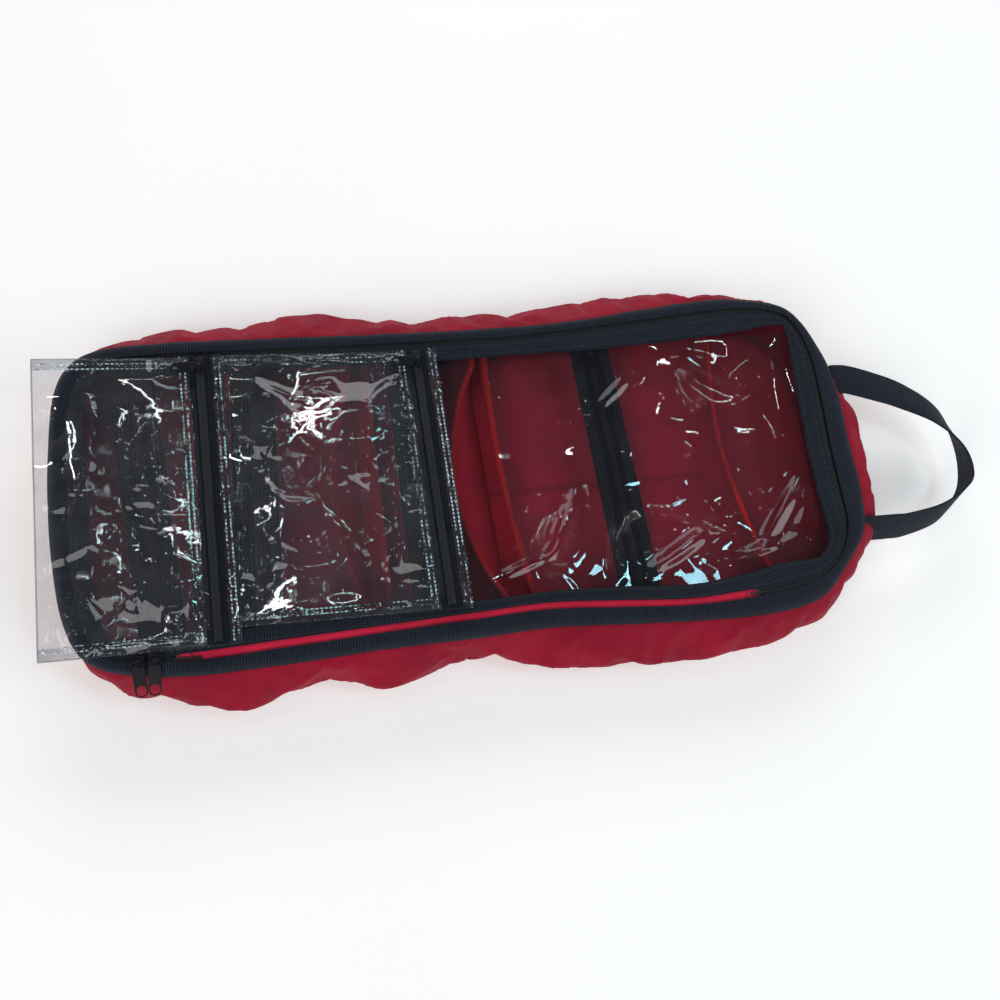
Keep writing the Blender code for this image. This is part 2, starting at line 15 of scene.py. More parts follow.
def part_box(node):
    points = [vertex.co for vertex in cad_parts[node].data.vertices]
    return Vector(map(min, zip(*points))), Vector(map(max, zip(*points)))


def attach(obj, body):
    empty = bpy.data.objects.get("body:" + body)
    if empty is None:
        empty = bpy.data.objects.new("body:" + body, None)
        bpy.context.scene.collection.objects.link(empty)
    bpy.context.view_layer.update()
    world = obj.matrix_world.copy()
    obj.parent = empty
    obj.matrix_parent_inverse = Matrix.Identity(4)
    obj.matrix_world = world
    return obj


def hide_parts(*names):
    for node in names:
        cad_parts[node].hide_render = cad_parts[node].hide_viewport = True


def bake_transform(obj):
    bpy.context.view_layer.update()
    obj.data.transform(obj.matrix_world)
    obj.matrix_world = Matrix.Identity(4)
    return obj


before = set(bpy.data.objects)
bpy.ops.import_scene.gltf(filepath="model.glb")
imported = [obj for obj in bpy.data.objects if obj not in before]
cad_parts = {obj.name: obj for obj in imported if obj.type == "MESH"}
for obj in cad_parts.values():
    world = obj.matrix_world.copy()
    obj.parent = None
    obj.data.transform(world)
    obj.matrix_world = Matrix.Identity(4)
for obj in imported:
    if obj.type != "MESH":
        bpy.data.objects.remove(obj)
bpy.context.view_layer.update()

# The bag's mouth from above, counter-clockwise from the front left corner. Each station gives
# the webbing's outer edge, the zip line and the window's edge, as x and y in millimetres.
RIM = [
    ((-262, -113), (-262, -106), (-260, -92)),
    ((-216, -120), (-216, -110), (-216, -92)),
    ((-150, -120), (-150, -108), (-150, -92)),
    ((-80, -118), (-80, -106), (-80, -92)),
    ((-14, -118), (-14, -104), (-13, -93)),
    ((40, -117), (40, -103), (41, -92)),
    ((95, -121), (95, -108), (90, -94)),
    ((150, -125), (150, -113), (151, -99)),
    ((200, -127), (202, -112), (194, -96)),
    ((238, -125), (236, -110), (228, -91)),
    ((264, -117), (259, -104), (254, -90)),
    ((286, -96), (278, -91), (263, -88)),
    ((306, -71), (289, -68), (273, -74)),
    ((311, -42), (289, -40), (271, -40)),
    ((310, -2), (288, -2), (270, -2)),
    ((309, 44), (289, 42), (271, 40)),
    ((303, 76), (288, 76), (272, 76)),
    ((288, 109), (281, 102), (272, 100)),
    ((270, 124), (267, 116), (266, 106)),
    ((235, 131), (235, 121), (235, 103)),
    ((203, 132), (203, 120), (205, 100)),
    ((150, 127), (150, 116), (155, 97)),
    ((95, 121), (95, 112), (100, 95)),
    ((38, 119), (38, 109), (37, 95)),
    ((-22, 119), (-22, 109), (-22, 94)),
    ((-90, 120), (-90, 110), (-90, 95)),
    ((-160, 122), (-160, 111), (-160, 96)),
    ((-225, 123), (-225, 112), (-225, 97)),
    ((-268, 120), (-262, 110), (-258, 97)),
    ((-287, 110), (-277, 100), (-271, 94)),
    ((-298, 88), (-286, 82), (-277, 82)),
    ((-303, 40), (-290, 40), (-278, 40)),
    ((-304, 0), (-290, 0), (-278, 0)),
    ((-302, -42), (-290, -42), (-277, -42)),
    ((-297, -76), (-285, -76), (-274, -74)),
    ((-286, -100), (-276, -95), (-268, -88)),
]
RIM_STEPS = 12  # columns between two stations

# How far the soft walls stand out past the webbing, as (x, bulge) in millimetres.
FRONT_LOBES = [
    (-300, 4), (-250, 17), (-188, 28), (-124, 20), (-81, 30), (-12, 16), (56, 32),
    (110, 31), (165, 30), (215, 26), (258, 20), (300, 16),
]
REAR_LOBES = [
    (-300, 5), (-262, 14), (-212, 24), (-186, 21), (-120, 33), (-60, 27), (-25, 21), (0, 27),
    (50, 25), (100, 27), (165, 26), (220, 17), (262, 13), (300, 14),
]
LEFT_BULGE = 0.005
RIGHT_LOBES = [(-120, 17), (-70, 18), (-40, 22), (20, 23), (50, 17), (78, 7), (120, 5)]

BAND_TOP = 0.060
BAND_THICKNESS = 0.0016
ZIP_TAPE_Z = 0.0578
WALL_TOP = 0.0535
WALL_FOOT = 0.0016
WINDOW_Z = 0.0575
STRIP_ENDS = (-0.225, 0.206)
ZIP_ENDS = (-0.204, 0.196)
STITCH_PITCH = 0.0030
# The two bars of stitches at each end of the red strip, as x.
TACKS = {"left": (-0.2235, -0.2145), "right": (0.1955, 0.2045)}

# Cell walls: x at the rear, x at the front, bow in the middle.
CELL_WALLS = {
    "cell_1_right": (-0.212, -0.197, 0.0),
    "cell_2_left": (-0.199, -0.191, 0.001),
    "cell_2_right": (-0.087, -0.087, -0.020),
    "cell_3_left": (-0.074, -0.073, -0.001),
    "cell_3_right": (0.012, 0.020, -0.030),
    "cell_4_left": (0.022, 0.038, -0.006),
    "cell_4_right": (0.213, 0.235, -0.014),
}
CELL_HALF_DEPTH = 0.116
BINDING_HALF_DEPTH = 0.1135
CELL_WALL_FOOT = 0.0022
CELL_WALL_TOP = 0.0330
COVER_Z = 0.0340
INNER_ZIPS = {1: (-0.249, -0.236), 2: (-0.161, -0.169), 3: (-0.042, -0.040), 4: (0.110, 0.121)}
INNER_ZIP_WIDTH = 0.033
INNER_ZIP_HALF = 0.108
INNER_BAIL_Z = 0.0409

# Loose clear pouches: corners front left, front right, rear right, rear left.
POUCHES = {
    1: ((-0.3128, -0.1010), (-0.1800, -0.1035), (-0.1800, 0.1065), (-0.3113, 0.1150)),
    2: ((-0.1803, -0.0925), (-0.0172, -0.0975), (-0.0222, 0.1010), (-0.1815, 0.1085)),
}
POUCH_REST = 0.0606
POUCH_MOUTH = 0.0675
POUCH_ZIP_WIDTH = 0.030
POUCH_TAPE_WIDTH = 0.0155
POUCH_CREASE_TOP = 0.0715
POUCH_HEM = 0.0085
POUCH_BAIL_Z = 0.0747

# The handle's middle line: x, y, z and the webbing's roll in degrees.
HANDLE_ROUTE = [
    (0.3102, 0.0580, 0.0500, 0.0),
    (0.3230, 0.0575, 0.0492, 0.0),
    (0.3467, 0.0512, 0.0462, 2.0),
    (0.3751, 0.0415, 0.0420, 10.0),
    (0.4060, 0.0232, 0.0385, 32.0),
    (0.4225, -0.0064, 0.0370, 68.0),
    (0.4220, -0.0340, 0.0370, 84.0),
    (0.4080, -0.0500, 0.0375, 74.0),
    (0.3860, -0.0625, 0.0385, 60.0),
    (0.3537, -0.0690, 0.0420, 52.0),
    (0.3380, -0.0695, 0.0440, 50.0),
    (0.3260, -0.0695, 0.0450, 50.0),
    (0.3080, -0.0690, 0.0455, 50.0),
]
HANDLE_WIDTH = 0.025

CAMERA_PLACE = (-0.1198, -0.1698, 0.7452)
CAMERA_RIGHT = (0.97781, -0.13282, 0.16203)
CAMERA_UP = (0.09341, 0.96862, 0.23031)
CAMERA_BACK = (-0.18753, -0.21006, 0.95953)
CAMERA_LENS = 34.2


# ---------------------------------------------------------------- materials


def new_material(name):
    """A material with an empty node tree apart from its output."""
    look = bpy.data.materials.new(name)
    look.use_nodes = True
    tree = look.node_tree
    tree.nodes.clear()
    output = tree.nodes.new("ShaderNodeOutputMaterial")
    return look, tree, output


def add_node(tree, kind, links=None, **values):
    """A node with its input values set by name and its inputs linked to given sockets."""
    node = tree.nodes.new(kind)
    for key, value in values.items():
        node.inputs[key.replace("_", " ")].default_value = value
    for key, socket in (links or {}).items():
        tree.links.new(socket, node.inputs[key])
    return node


def metre_map(tree):
    """The piece's own surface coordinates in metres."""
    return tree.nodes.new("ShaderNodeTexCoord").outputs["UV"]


def object_map(tree):
    return tree.nodes.new("ShaderNodeTexCoord").outputs["Object"]


def bands(tree, vector, axis, period, distortion=0.0):
    """Sine bands across an axis, one for each period in metres."""
    scale = 2 * math.pi / 20 / period
    wave = add_node(
        tree, "ShaderNodeTexWave", {"Vector": vector},
        Scale=scale, Distortion=distortion, Detail=1.0,
    )
    wave.bands_direction = axis
    return wave.outputs["Fac"]


def noise_field(tree, vector, scale, detail=3.0, roughness=0.5):
    field = add_node(
        tree, "ShaderNodeTexNoise", {"Vector": vector},
        Scale=scale, Detail=detail, Roughness=roughness,
    )
    return field.outputs["Fac"]


def math_node(tree, operation, first, second):
    node = tree.nodes.new("ShaderNodeMath")
    node.operation = operation
    for socket, value in zip(node.inputs, (first, second)):
        if isinstance(value, (int, float)):
            socket.default_value = value
        else:
            tree.links.new(value, socket)
    return node.outputs[0]


def blend_of(tree, *terms):
    """The sum of (factor, weight) terms."""
    total, *others = (math_node(tree, "MULTIPLY", factor, weight) for factor, weight in terms)
    for other in others:
        total = math_node(tree, "ADD", total, other)
    return total


def ramp(tree, factor, low, high, start=0.3, end=0.7):
    """Blend from the low colour to the high one as the factor goes from start to end."""
    node = add_node(tree, "ShaderNodeValToRGB", {"Fac": factor})
    stops = ((start, low), (end, high))
    for element, (position, colour) in zip(node.color_ramp.elements, stops):
        element.position = position
        element.color = (*colour, 1.0)
    return node.outputs["Color"]


def spread(tree, factor, low, high):
    """Map a 0 to 1 factor on to low to high."""
    node = add_node(tree, "ShaderNodeMapRange", {"Value": factor}, To_Min=low, To_Max=high)
    return node.outputs["Result"]


def bump(tree, height, distance, strength=1.0, base=None):
    node = add_node(
        tree, "ShaderNodeBump", {"Height": height}, Distance=distance, Strength=strength
    )
    if base is not None:
        tree.links.new(base, node.inputs["Normal"])
    return node.outputs["Normal"]


def finish_shader(tree, output, colour, roughness, normal, **constants):
    """A Principled shader fed by colour, roughness and bump, with constant other values."""
    links = {"Base Color": colour, "Roughness": roughness, "Normal": normal}
    shader = add_node(tree, "ShaderNodeBsdfPrincipled", links, **constants)
    tree.links.new(shader.outputs["BSDF"], output.inputs["Surface"])


def weave_height(tree, vector, pitch):
    """Over and under threads: the product of two crossed sets of bands."""
    warp = bands(tree, vector, "X", pitch)
    weft = bands(tree, vector, "Y", pitch)
    crossed = math_node(tree, "MULTIPLY", warp, weft)
    other = math_node(tree, "MULTIPLY", math_node(tree, "SUBTRACT", 1.0, warp),
                      math_node(tree, "SUBTRACT", 1.0, weft))
    return math_node(tree, "ADD", crossed, other)


def cloth_material(name, dark, light, pitch, sheen, rough=(0.58, 0.74)):
    """Coated woven nylon: fine weave, soft creases, random colour variation and a painted highlight
    on the raised threads of the weave.
    """
    look, tree, output = new_material(name)
    surface = metre_map(tree)
    weave = weave_height(tree, surface, pitch)
    place = object_map(tree)
    cloud = noise_field(tree, place, 26.0, 5.0, 0.62)
    fine = noise_field(tree, place, 420.0, 2.0)
    crease = noise_field(tree, place, 55.0, 6.0, 0.58)
    # The weave's raised threads are coloured lighter, a painted highlight; cloud and fine noise
    # give random tone.
    tone = blend_of(tree, (cloud, 0.75), (weave, 0.22), (fine, 0.12))
    colour = ramp(tree, tone, dark, light, 0.28, 0.78)
    roughness = spread(tree, cloud, *rough)
    normal = bump(tree, crease, 0.0006, 0.9)
    normal = bump(tree, weave, 0.00022, 0.75, normal)
    finish_shader(
        tree, output, colour, roughness, normal,
        Sheen_Weight=sheen, Sheen_Roughness=0.45, Specular_IOR_Level=0.13,
    )
    return look


def webbing_material(name, dark, light, rib, sheen):
    """Black grosgrain: ribs across the strap, with a painted highlight that makes the rib tops
    lighter.
    """
    look, tree, output = new_material(name)
    surface = metre_map(tree)
    ribs = bands(tree, surface, "X", rib, 0.25)
    threads = bands(tree, surface, "Y", rib * 0.55, 0.6)
    height = math_node(tree, "ADD", ribs, math_node(tree, "MULTIPLY", threads, 0.35))
    place = object_map(tree)
    cloud = noise_field(tree, place, 34.0, 4.0, 0.6)
    fine = noise_field(tree, place, 700.0, 2.0)
    # Rib height lightens the colour, a painted highlight on the rib tops, over random tone.
    tone = blend_of(tree, (cloud, 0.35), (height, 0.50), (fine, 0.15))
    colour = ramp(tree, tone, dark, light, 0.30, 0.95)
    roughness = spread(tree, fine, 0.55, 0.78)
    normal = bump(tree, height, 0.0006, 1.0)
    finish_shader(
        tree, output, colour, roughness, normal,
        Sheen_Weight=sheen, Sheen_Roughness=0.5, Specular_IOR_Level=0.12,
    )
    return look


def metal_material():
    """Black enamelled zinc: satin, with soft mottling and worn paler patches."""
    look, tree, output = new_material("black_enamel")
    place = object_map(tree)
    cloud = noise_field(tree, place, 260.0, 4.0, 0.6)
    fine = noise_field(tree, place, 1900.0, 2.0)
    colour = ramp(tree, cloud, (0.004, 0.005, 0.007), (0.014, 0.016, 0.020), 0.42, 0.8)
    roughness = spread(tree, cloud, 0.24, 0.46)
    normal = bump(tree, fine, 0.00005, 0.5)
    finish_shader(tree, output, colour, roughness, normal, Metallic=0.0, Specular_IOR_Level=0.16)
    return look


def pucker_glint_material():
    """Vinyl drawn up at the stitch holes: mostly dark, with painted glints here and there."""
    look, tree, output = new_material("vinyl_pucker_painted_glints")
    place = object_map(tree)
    sparkle = noise_field(tree, place, 190.0, 3.0, 0.6)
    drift = noise_field(tree, place, 26.0, 2.0, 0.5)
    mixed = blend_of(tree, (sparkle, 0.6), (drift, 0.4))
    # Thresholded noise paints bright blue-white glints into the colour of some stitches; the rest
    # stay dark.
    colour = ramp(tree, mixed, (0.006, 0.009, 0.013), (0.62, 0.86, 0.95), 0.46, 0.56)
    roughness = spread(tree, sparkle, 0.10, 0.25)
    finish_shader(tree, output, colour, roughness, bump(tree, sparkle, 0.0002, 0.5), Metallic=0.2)
    return look


def thread_material(name, dark, light):
    """Twisted sewing thread."""
    look, tree, output = new_material(name)
    place = object_map(tree)
    twist = bands(tree, place, "DIAGONAL", 0.0006)
    fine = noise_field(tree, place, 900.0, 2.0)
    colour = ramp(tree, math_node(tree, "MULTIPLY", twist, fine), dark, light, 0.1, 0.7)
    roughness = spread(tree, fine, 0.45, 0.65)
    normal = bump(tree, twist, 0.0001, 0.8)
    finish_shader(tree, output, colour, roughness, normal, Sheen_Weight=0.15)
    return look


def vinyl_material(name, tint, clouded, reflect, haze):
    """Clear soft vinyl as one thin sheet: it tints what is behind it and mirrors the lights.

    tint and clouded are the colours let through by clean and by scuffed vinyl, reflect is the
    share mirrored straight on and haze the share of a pale bluish diffuse layer in cloudy patches:
    partly scuffed vinyl, partly a painted reflection veil.
    """
    look, tree, output = new_material(name)
    place = object_map(tree)
    cloud = noise_field(tree, place, 38.0, 4.0, 0.6)
    ripple = noise_field(tree, place, 75.0, 2.0, 0.4)
    scuff = noise_field(tree, place, 900.0, 4.0, 0.7)
    normal = bump(tree, ripple, 0.00016, 0.3)
    through = tree.nodes.new("ShaderNodeBsdfTransparent")
    tree.links.new(ramp(tree, cloud, tint, clouded, 0.40, 0.75), through.inputs["Color"])
    colour = ramp(tree, scuff, (0.80, 0.84, 0.88), (0.95, 0.96, 0.97), 0.3, 0.7)
    gloss = add_node(
        tree, "ShaderNodeBsdfPrincipled",
        {"Base Color": colour, "Roughness": spread(tree, scuff, 0.007, 0.022), "Normal": normal},
        Metallic=1.0,
    )
    edge = add_node(tree, "ShaderNodeLayerWeight", {"Normal": normal}, Blend=0.22)
    share = math_node(tree, "MULTIPLY_ADD", edge.outputs["Fresnel"], 0.9)
    share.node.inputs[2].default_value = reflect
    mirrored = add_node(
        tree, "ShaderNodeMixShader",
        {0: share, 1: through.outputs["BSDF"], 2: gloss.outputs["BSDF"]},
    )
    # Pale bluish diffuse layer in cloudy patches: partly scuffed vinyl, partly a painted reflection
    # veil.
    scuff_and_painted_veil = add_node(tree, "ShaderNodeBsdfDiffuse", Color=(0.56, 0.60, 0.72, 1.0))
    amount = math_node(tree, "MULTIPLY", cloud, haze)
    mixed = add_node(
        tree, "ShaderNodeMixShader",
        {0: amount, 1: mirrored.outputs["Shader"], 2: scuff_and_painted_veil.outputs["BSDF"]},
    )
    tree.links.new(mixed.outputs["Shader"], output.inputs["Surface"])
    return look


def floor_material():
    """Matt, almost white, and faintly lit from within like the photo's cut-out ground."""
    look, tree, output = new_material("pale_floor")
    place = object_map(tree)
    cloud = noise_field(tree, place, 3.0, 3.0)
    fine = noise_field(tree, place, 300.0, 2.0)
    colour = ramp(tree, cloud, (0.93, 0.93, 0.93), (0.95, 0.95, 0.95), 0.3, 0.7)
    roughness = spread(tree, fine, 0.8, 0.9)
    white = (1.0, 0.985, 0.97, 1.0)
    finish_shader(tree, output, colour, roughness, bump(tree, fine, 0.00005, 0.2),
                  Emission_Color=white, Emission_Strength=0.24)
    return look


def make_materials():
    return {
        "nylon": cloth_material(
            "red_nylon", (0.22, 0.004, 0.018), (0.43, 0.009, 0.036), 0.0012, 0.03
        ),
        "lining": cloth_material(
            "red_lining", (0.50, 0.012, 0.042), (0.78, 0.024, 0.070), 0.0011, 0.03
        ),
        "piping": cloth_material(
            "red_binding", (0.50, 0.010, 0.018), (0.72, 0.022, 0.030), 0.0012, 0.08, (0.4, 0.55)
        ),
        "webbing": webbing_material(
            "black_webbing", (0.0034, 0.0056, 0.0125), (0.026, 0.034, 0.054), 0.0020, 0.04
        ),
        "tape": webbing_material(
            "zip_tape", (0.0038, 0.0058, 0.0125), (0.018, 0.024, 0.039), 0.0012, 0.03
        ),
        "coil": thread_material("zip_coil", (0.003, 0.004, 0.006), (0.014, 0.017, 0.023)),
        "thread": thread_material("black_thread", (0.006, 0.007, 0.009), (0.03, 0.033, 0.04)),
        # Stitch material with painted glints in its colour.
        "pucker": pucker_glint_material(),
        "metal": metal_material(),
        "window": vinyl_material(
            "window_vinyl", (0.95, 0.955, 0.96), (0.90, 0.91, 0.92), 0.03, 0.015
        ),
        "cover": vinyl_material(
            "cover_vinyl", (0.94, 0.945, 0.95), (0.88, 0.885, 0.89), 0.03, 0.045
        ),
        "pouch": vinyl_material(
            "pouch_vinyl", (0.92, 0.92, 0.925), (0.86, 0.86, 0.87), 0.032, 0.055
        ),
        "hem": vinyl_material("vinyl_edge", (0.78, 0.785, 0.80), (0.68, 0.69, 0.71), 0.04, 0.06),
    }


# ---------------------------------------------------------------- meshes


def add_object(name, mesh, look):
    item = bpy.data.objects.new(name, mesh)
    bpy.context.scene.collection.objects.link(item)
    mesh.materials.append(look)
    return item


def add_piece(name, mesh, look, body, slot, *nodes):
    """A piece that rides on a body in place of CAD nodes if any are given; its slot is not used."""
    item = add_object(name, mesh, look)
    assign(item, body, slot, *nodes)
    return item


def assign(item, body, slot, *nodes):
    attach(item, body)
    if nodes:
        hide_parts(*nodes)


def smooth(mesh):
    mesh.polygons.foreach_set("use_smooth", [True] * len(mesh.polygons))


def built_mesh(name, vertices, faces):
    mesh = bpy.data.meshes.new(name)
    mesh.from_pydata(vertices, [], faces)
    smooth(mesh)
    return mesh


def clamp(value):
    return max(0.0, min(1.0, value))


def raised(height):
    return Vector((0, 0, height))


def grid_mesh(name, columns, rows, place, wrap=False):
    """A quad grid with place(i, j) for each corner and a UV map in metres.

    wrap joins the last column to the first.
    """
    across = columns if wrap else columns + 1
    points = [[Vector(place(i, j)) for j in range(rows + 1)] for i in range(across)]
    vertices = [point for column in points for point in column]
    faces = []
    corners = []
    for i in range(columns):
        for j in range(rows):
            near = i * (rows + 1) + j
            far = ((i + 1) % across) * (rows + 1) + j
            faces.append((near, far, far + 1, near + 1))
            corners.append(((i, j), (i + 1, j), (i + 1, j + 1), (i, j + 1)))
    along = running_lengths([points[i % across][rows // 2] for i in range(columns + 1)])
    over = running_lengths(points[columns // 3])
    mesh = built_mesh(name, vertices, faces)
    flat = [(along[i], over[j]) for face in corners for i, j in face]
    for loop, place_in_metres in zip(mesh.uv_layers.new(name="metres").data, flat):
        loop.uv = place_in_metres
    return mesh


def running_lengths(points):
    lengths = [0.0]
    for before, after in zip(points, points[1:]):
        lengths.append(lengths[-1] + (after - before).length)
    return lengths


def merged(name, parts):
    """One object from several (mesh, material) parts."""
    looks = list(dict.fromkeys(look for _, look in parts))
    shape = bmesh.new()
    for mesh, look in parts:
        first = len(shape.faces)
        shape.from_mesh(mesh)
        shape.faces.ensure_lookup_table()
        for face in shape.faces[first:]:
            face.material_index = looks.index(look)
    mesh = bpy.data.meshes.new(name)
    shape.to_mesh(mesh)
    shape.free()
    item = add_object(name, mesh, looks[0])
    for look in looks[1:]:
        mesh.materials.append(look)
    return item


def moved(mesh, matrix):
    copy = mesh.copy()
    copy.transform(matrix)
    return copy


def thicken(item, thickness, offset=-1.0, bevel=0.0):
    """Give a sheet thickness below its surface, with its edges rounded by bevel."""
    shell = item.modifiers.new("Thickness", "SOLIDIFY")
    shell.thickness = thickness
    shell.offset = offset
    if bevel:
        soft = item.modifiers.new("Edge", "BEVEL")
        soft.width = bevel
        soft.segments = 2
        soft.limit_method = "ANGLE"
        soft.angle_limit = math.radians(50)


def box_mesh(size, centre, bevel, segments=2):
    """A box with rounded edges."""
    shape = bmesh.new()
    matrix = Matrix.Translation(centre) @ Matrix.Diagonal((*size, 1.0))
    bmesh.ops.create_cube(shape, size=1.0, matrix=matrix)
    edges = shape.edges[:]
    bmesh.ops.bevel(shape, geom=edges, offset=bevel, segments=segments, affect="EDGES")
    mesh = bpy.data.meshes.new("box")
    shape.to_mesh(mesh)
    shape.free()
    return mesh


def plate_mesh(outlines, thickness, bevel):
    """A flat plate with rounded rims, centred on z = 0, from an outline and its holes."""
    curve = bpy.data.curves.new("plate", "CURVE")
    curve.dimensions = "2D"
    curve.fill_mode = "BOTH"
    curve.extrude = thickness / 2 - bevel
    curve.bevel_depth = bevel
    curve.bevel_resolution = 2
    curve.offset = -bevel
    for ring in outlines:
        spline = curve.splines.new("POLY")
        spline.points.add(len(ring) - 1)
        for point, (x, y) in zip(spline.points, ring):
            point.co = (x, y, 0.0, 1.0)
        spline.use_cyclic_u = True
    return curve_to_mesh(curve)


def tube_mesh(points, radius, closed=False):
    """A round tube along points."""
    curve = bpy.data.curves.new("tube", "CURVE")
    curve.dimensions = "3D"
    curve.bevel_depth = radius
    curve.bevel_resolution = 3
    curve.use_fill_caps = True
    spline = curve.splines.new("POLY")
    spline.points.add(len(points) - 1)
    for point, place in zip(spline.points, points):
        point.co = (*place, 1.0)
    spline.use_cyclic_u = closed
    return curve_to_mesh(curve)


def curve_to_mesh(curve):
    holder = bpy.data.objects.new("outline_curve", curve)
    bpy.context.scene.collection.objects.link(holder)
    graph = bpy.context.evaluated_depsgraph_get()
    mesh = bpy.data.meshes.new_from_object(holder.evaluated_get(graph))
    bpy.data.objects.remove(holder)
    bpy.data.curves.remove(curve)
    smooth(mesh)
    return mesh


def rounded(left, right, front, rear, radius, steps):
    """The (x, y) outline of a rectangle with round corners."""
    corners = [
        (right - radius, front + radius, 270),
        (right - radius, rear - radius, 0),
        (left + radius, rear - radius, 90),
        (left + radius, front + radius, 180),
    ]
    ring = []
    for x, y, start in corners:
        for step in range(steps + 1):
            angle = math.radians(start + 90 * step / steps)
            ring.append((x + radius * math.cos(angle), y + radius * math.sin(angle)))
    return ring


def spline_at(points, place, closed=False):
    """A point on the smooth line through points; place counts points from 0."""
    count = len(points)
    index = int(math.floor(place))
    local = place - index
    picks = []
    for step in (-1, 0, 1, 2):
        k = index + step
        picks.append(points[k % count] if closed else points[min(max(k, 0), count - 1)])
    a, b, c, d = (Vector(p) for p in picks)
    bend = 2 * b + (c - a) * local + (2 * a - 5 * b + 4 * c - d) * local**2
    return (bend + (3 * b - a - 3 * c + d) * local**3) / 2


def between(table, x):
    """Smooth value at x of a table of (x, value) rows."""
    if x <= table[0][0]:
        return table[0][1]
    for (x0, v0), (x1, v1) in zip(table, table[1:]):
        if x <= x1:
            t = (x - x0) / (x1 - x0)
            return v0 + (v1 - v0) * t * t * (3 - 2 * t)
    return table[-1][1]


def wobble(x, y, z, scale, seed=0.0):
    """Smooth noise from -1 to 1 at a point, changing about every 1 / scale metres."""
    return noise.noise(Vector((x * scale + seed, y * scale - seed, z * scale + 2 * seed)))


def settle(item, pinned, frames, pressure, growth, cap, stiffness, bending):
    """Let a sheet crumple as cloth that is a little too large, held at its pinned corners.

    No point ends further than cap from its start.
    """
    group = item.vertex_groups.new(name="pinned")
    group.add(pinned, 1.0, "REPLACE")
    start = [vertex.co.copy() for vertex in item.data.vertices]
    cloth = item.modifiers.new("Cloth", "CLOTH")
    settings = cloth.settings
    settings.quality = 6
    settings.mass = 0.05
    settings.air_damping = 3.0
    settings.tension_stiffness = stiffness
    settings.compression_stiffness = stiffness
    settings.shear_stiffness = stiffness * 0.6
    settings.bending_stiffness = bending
    settings.vertex_group_mass = "pinned"
    settings.shrink_min = -growth
    settings.use_pressure = pressure != 0
    settings.uniform_pressure_force = pressure
    settings.effector_weights.gravity = 0.0
    cloth.collision_settings.use_collision = False
    cloth.point_cache.frame_start = 1
    cloth.point_cache.frame_end = frames
    scene = bpy.context.scene
    for frame_number in range(1, frames + 1):
        scene.frame_set(frame_number)
    graph = bpy.context.evaluated_depsgraph_get()
    relaxed = item.evaluated_get(graph).data
    for vertex, home, moved_to in zip(item.data.vertices, start, relaxed.vertices):
        step = moved_to.co - home
        length = step.length
        vertex.co = home + step * (min(length, cap) / length if length else 0.0)
    item.modifiers.remove(cloth)
    item.vertex_groups.remove(group)
    scene.frame_set(1)


# ---------------------------------------------------------------- the rim's loops


def rim_point(place, edge):
    """The rim at a station number, 0 for the webbing's outer edge, 1 zip line, 2 window."""
    line = [station[edge] for station in RIM]
    x, y = spline_at(line, place, closed=True)
    return Vector((x / 1000, y / 1000, 0.0))


def rim_loop(edge, towards=None, share=0.0, front=0.0):
    """All columns of an edge of the rim, moved by a share of the way towards another.

    front is a further share along the red hinge strip.
    """
    count = len(RIM) * RIM_STEPS
    loop = []
    for i in range(count):
        point = rim_point(i / RIM_STEPS, edge)
        if towards is not None:
            other = rim_point(i / RIM_STEPS, towards)
            beside = min(point.x - STRIP_ENDS[0], STRIP_ENDS[1] - point.x) / 0.012
            beside = clamp(0.5 + beside) if point.y < 0 else 0.0
            point = point.lerp(other, share + front * beside)
        loop.append(point)
    return loop


def outward_normals(loop):
    """The level direction away from the bag at each point of a rim loop."""
    count = len(loop)
    normals = []
    for i in range(count):
        ahead = loop[(i + 2) % count] - loop[i - 2]
        normals.append(Vector((ahead.y, -ahead.x, 0.0)).normalized())
    return normals


def span_at(loop, x):
    """The lowest and highest y at which the closed loop crosses x."""
    found = []
    for a, b in zip(loop, loop[1:] + loop[:1]):
        if (a.x - x) * (b.x - x) <= 0 and a.x != b.x:
            found.append(a.y + (b.y - a.y) * (x - a.x) / (b.x - a.x))
    return min(found), max(found)


# ---------------------------------------------------------------- tray


def lobe(point, normal):
    """How far the wall stands out at its widest, at a point of the rim."""
    table = FRONT_LOBES if point.y < 0 else REAR_LOBES
    side = between(table, point.x * 1000) / 1000
    end = between(RIGHT_LOBES, point.y * 1000) / 1000 if normal.x > 0 else LEFT_BULGE
    share = normal.y**2
    return side * share + end * (1 - share)


def make_walls(looks):
    """The red nylon wall all round, bulging in lobes between the seams of the cells."""
    loop = rim_loop(0, 1, 0.12)
    normals = outward_normals(loop)
    rows = 22

    def place(i, j):
        point = loop[i]
        normal = normals[i]
        v = j / rows
        stand = lobe(point, normal)
        height = WALL_FOOT + (WALL_TOP - WALL_FOOT) * v
        lean = 0.92 + 1.1 * max(0.0, normal.x) ** 2
        belly = math.sin(math.pi * v**lean) ** 0.8
        inset = 0.0035 * (1 - v)
        ripple = 0.0022 * math.sin(math.pi * v) * wobble(point.x, point.y, height, 42.0, 3.1)
        fold = 0.0030 * (v**3) * (1 - v) * 4 * wobble(point.x, point.y, 0.0, 75.0, 8.4)
        out = stand * belly - inset + ripple + fold
        return point + normal * out + Vector((0.0, 0.0, height))

    mesh = grid_mesh("side_walls", len(loop), rows, place, wrap=True)
    item = add_object("side_walls", mesh, looks["nylon"])
    pinned = [
        i for i in range(len(mesh.vertices)) if i % (rows + 1) in (0, 1, rows - 1, rows)
    ]
    settle(item, pinned, 22, 0.6, 0.035, 0.006, 12.0, 0.25)
    thicken(item, 0.0012, 0.0)
    gussets = [f"{side}_gusset" for side in ("front", "rear", "left", "right")]
    assign(item, "tray", "red_nylon", *gussets)


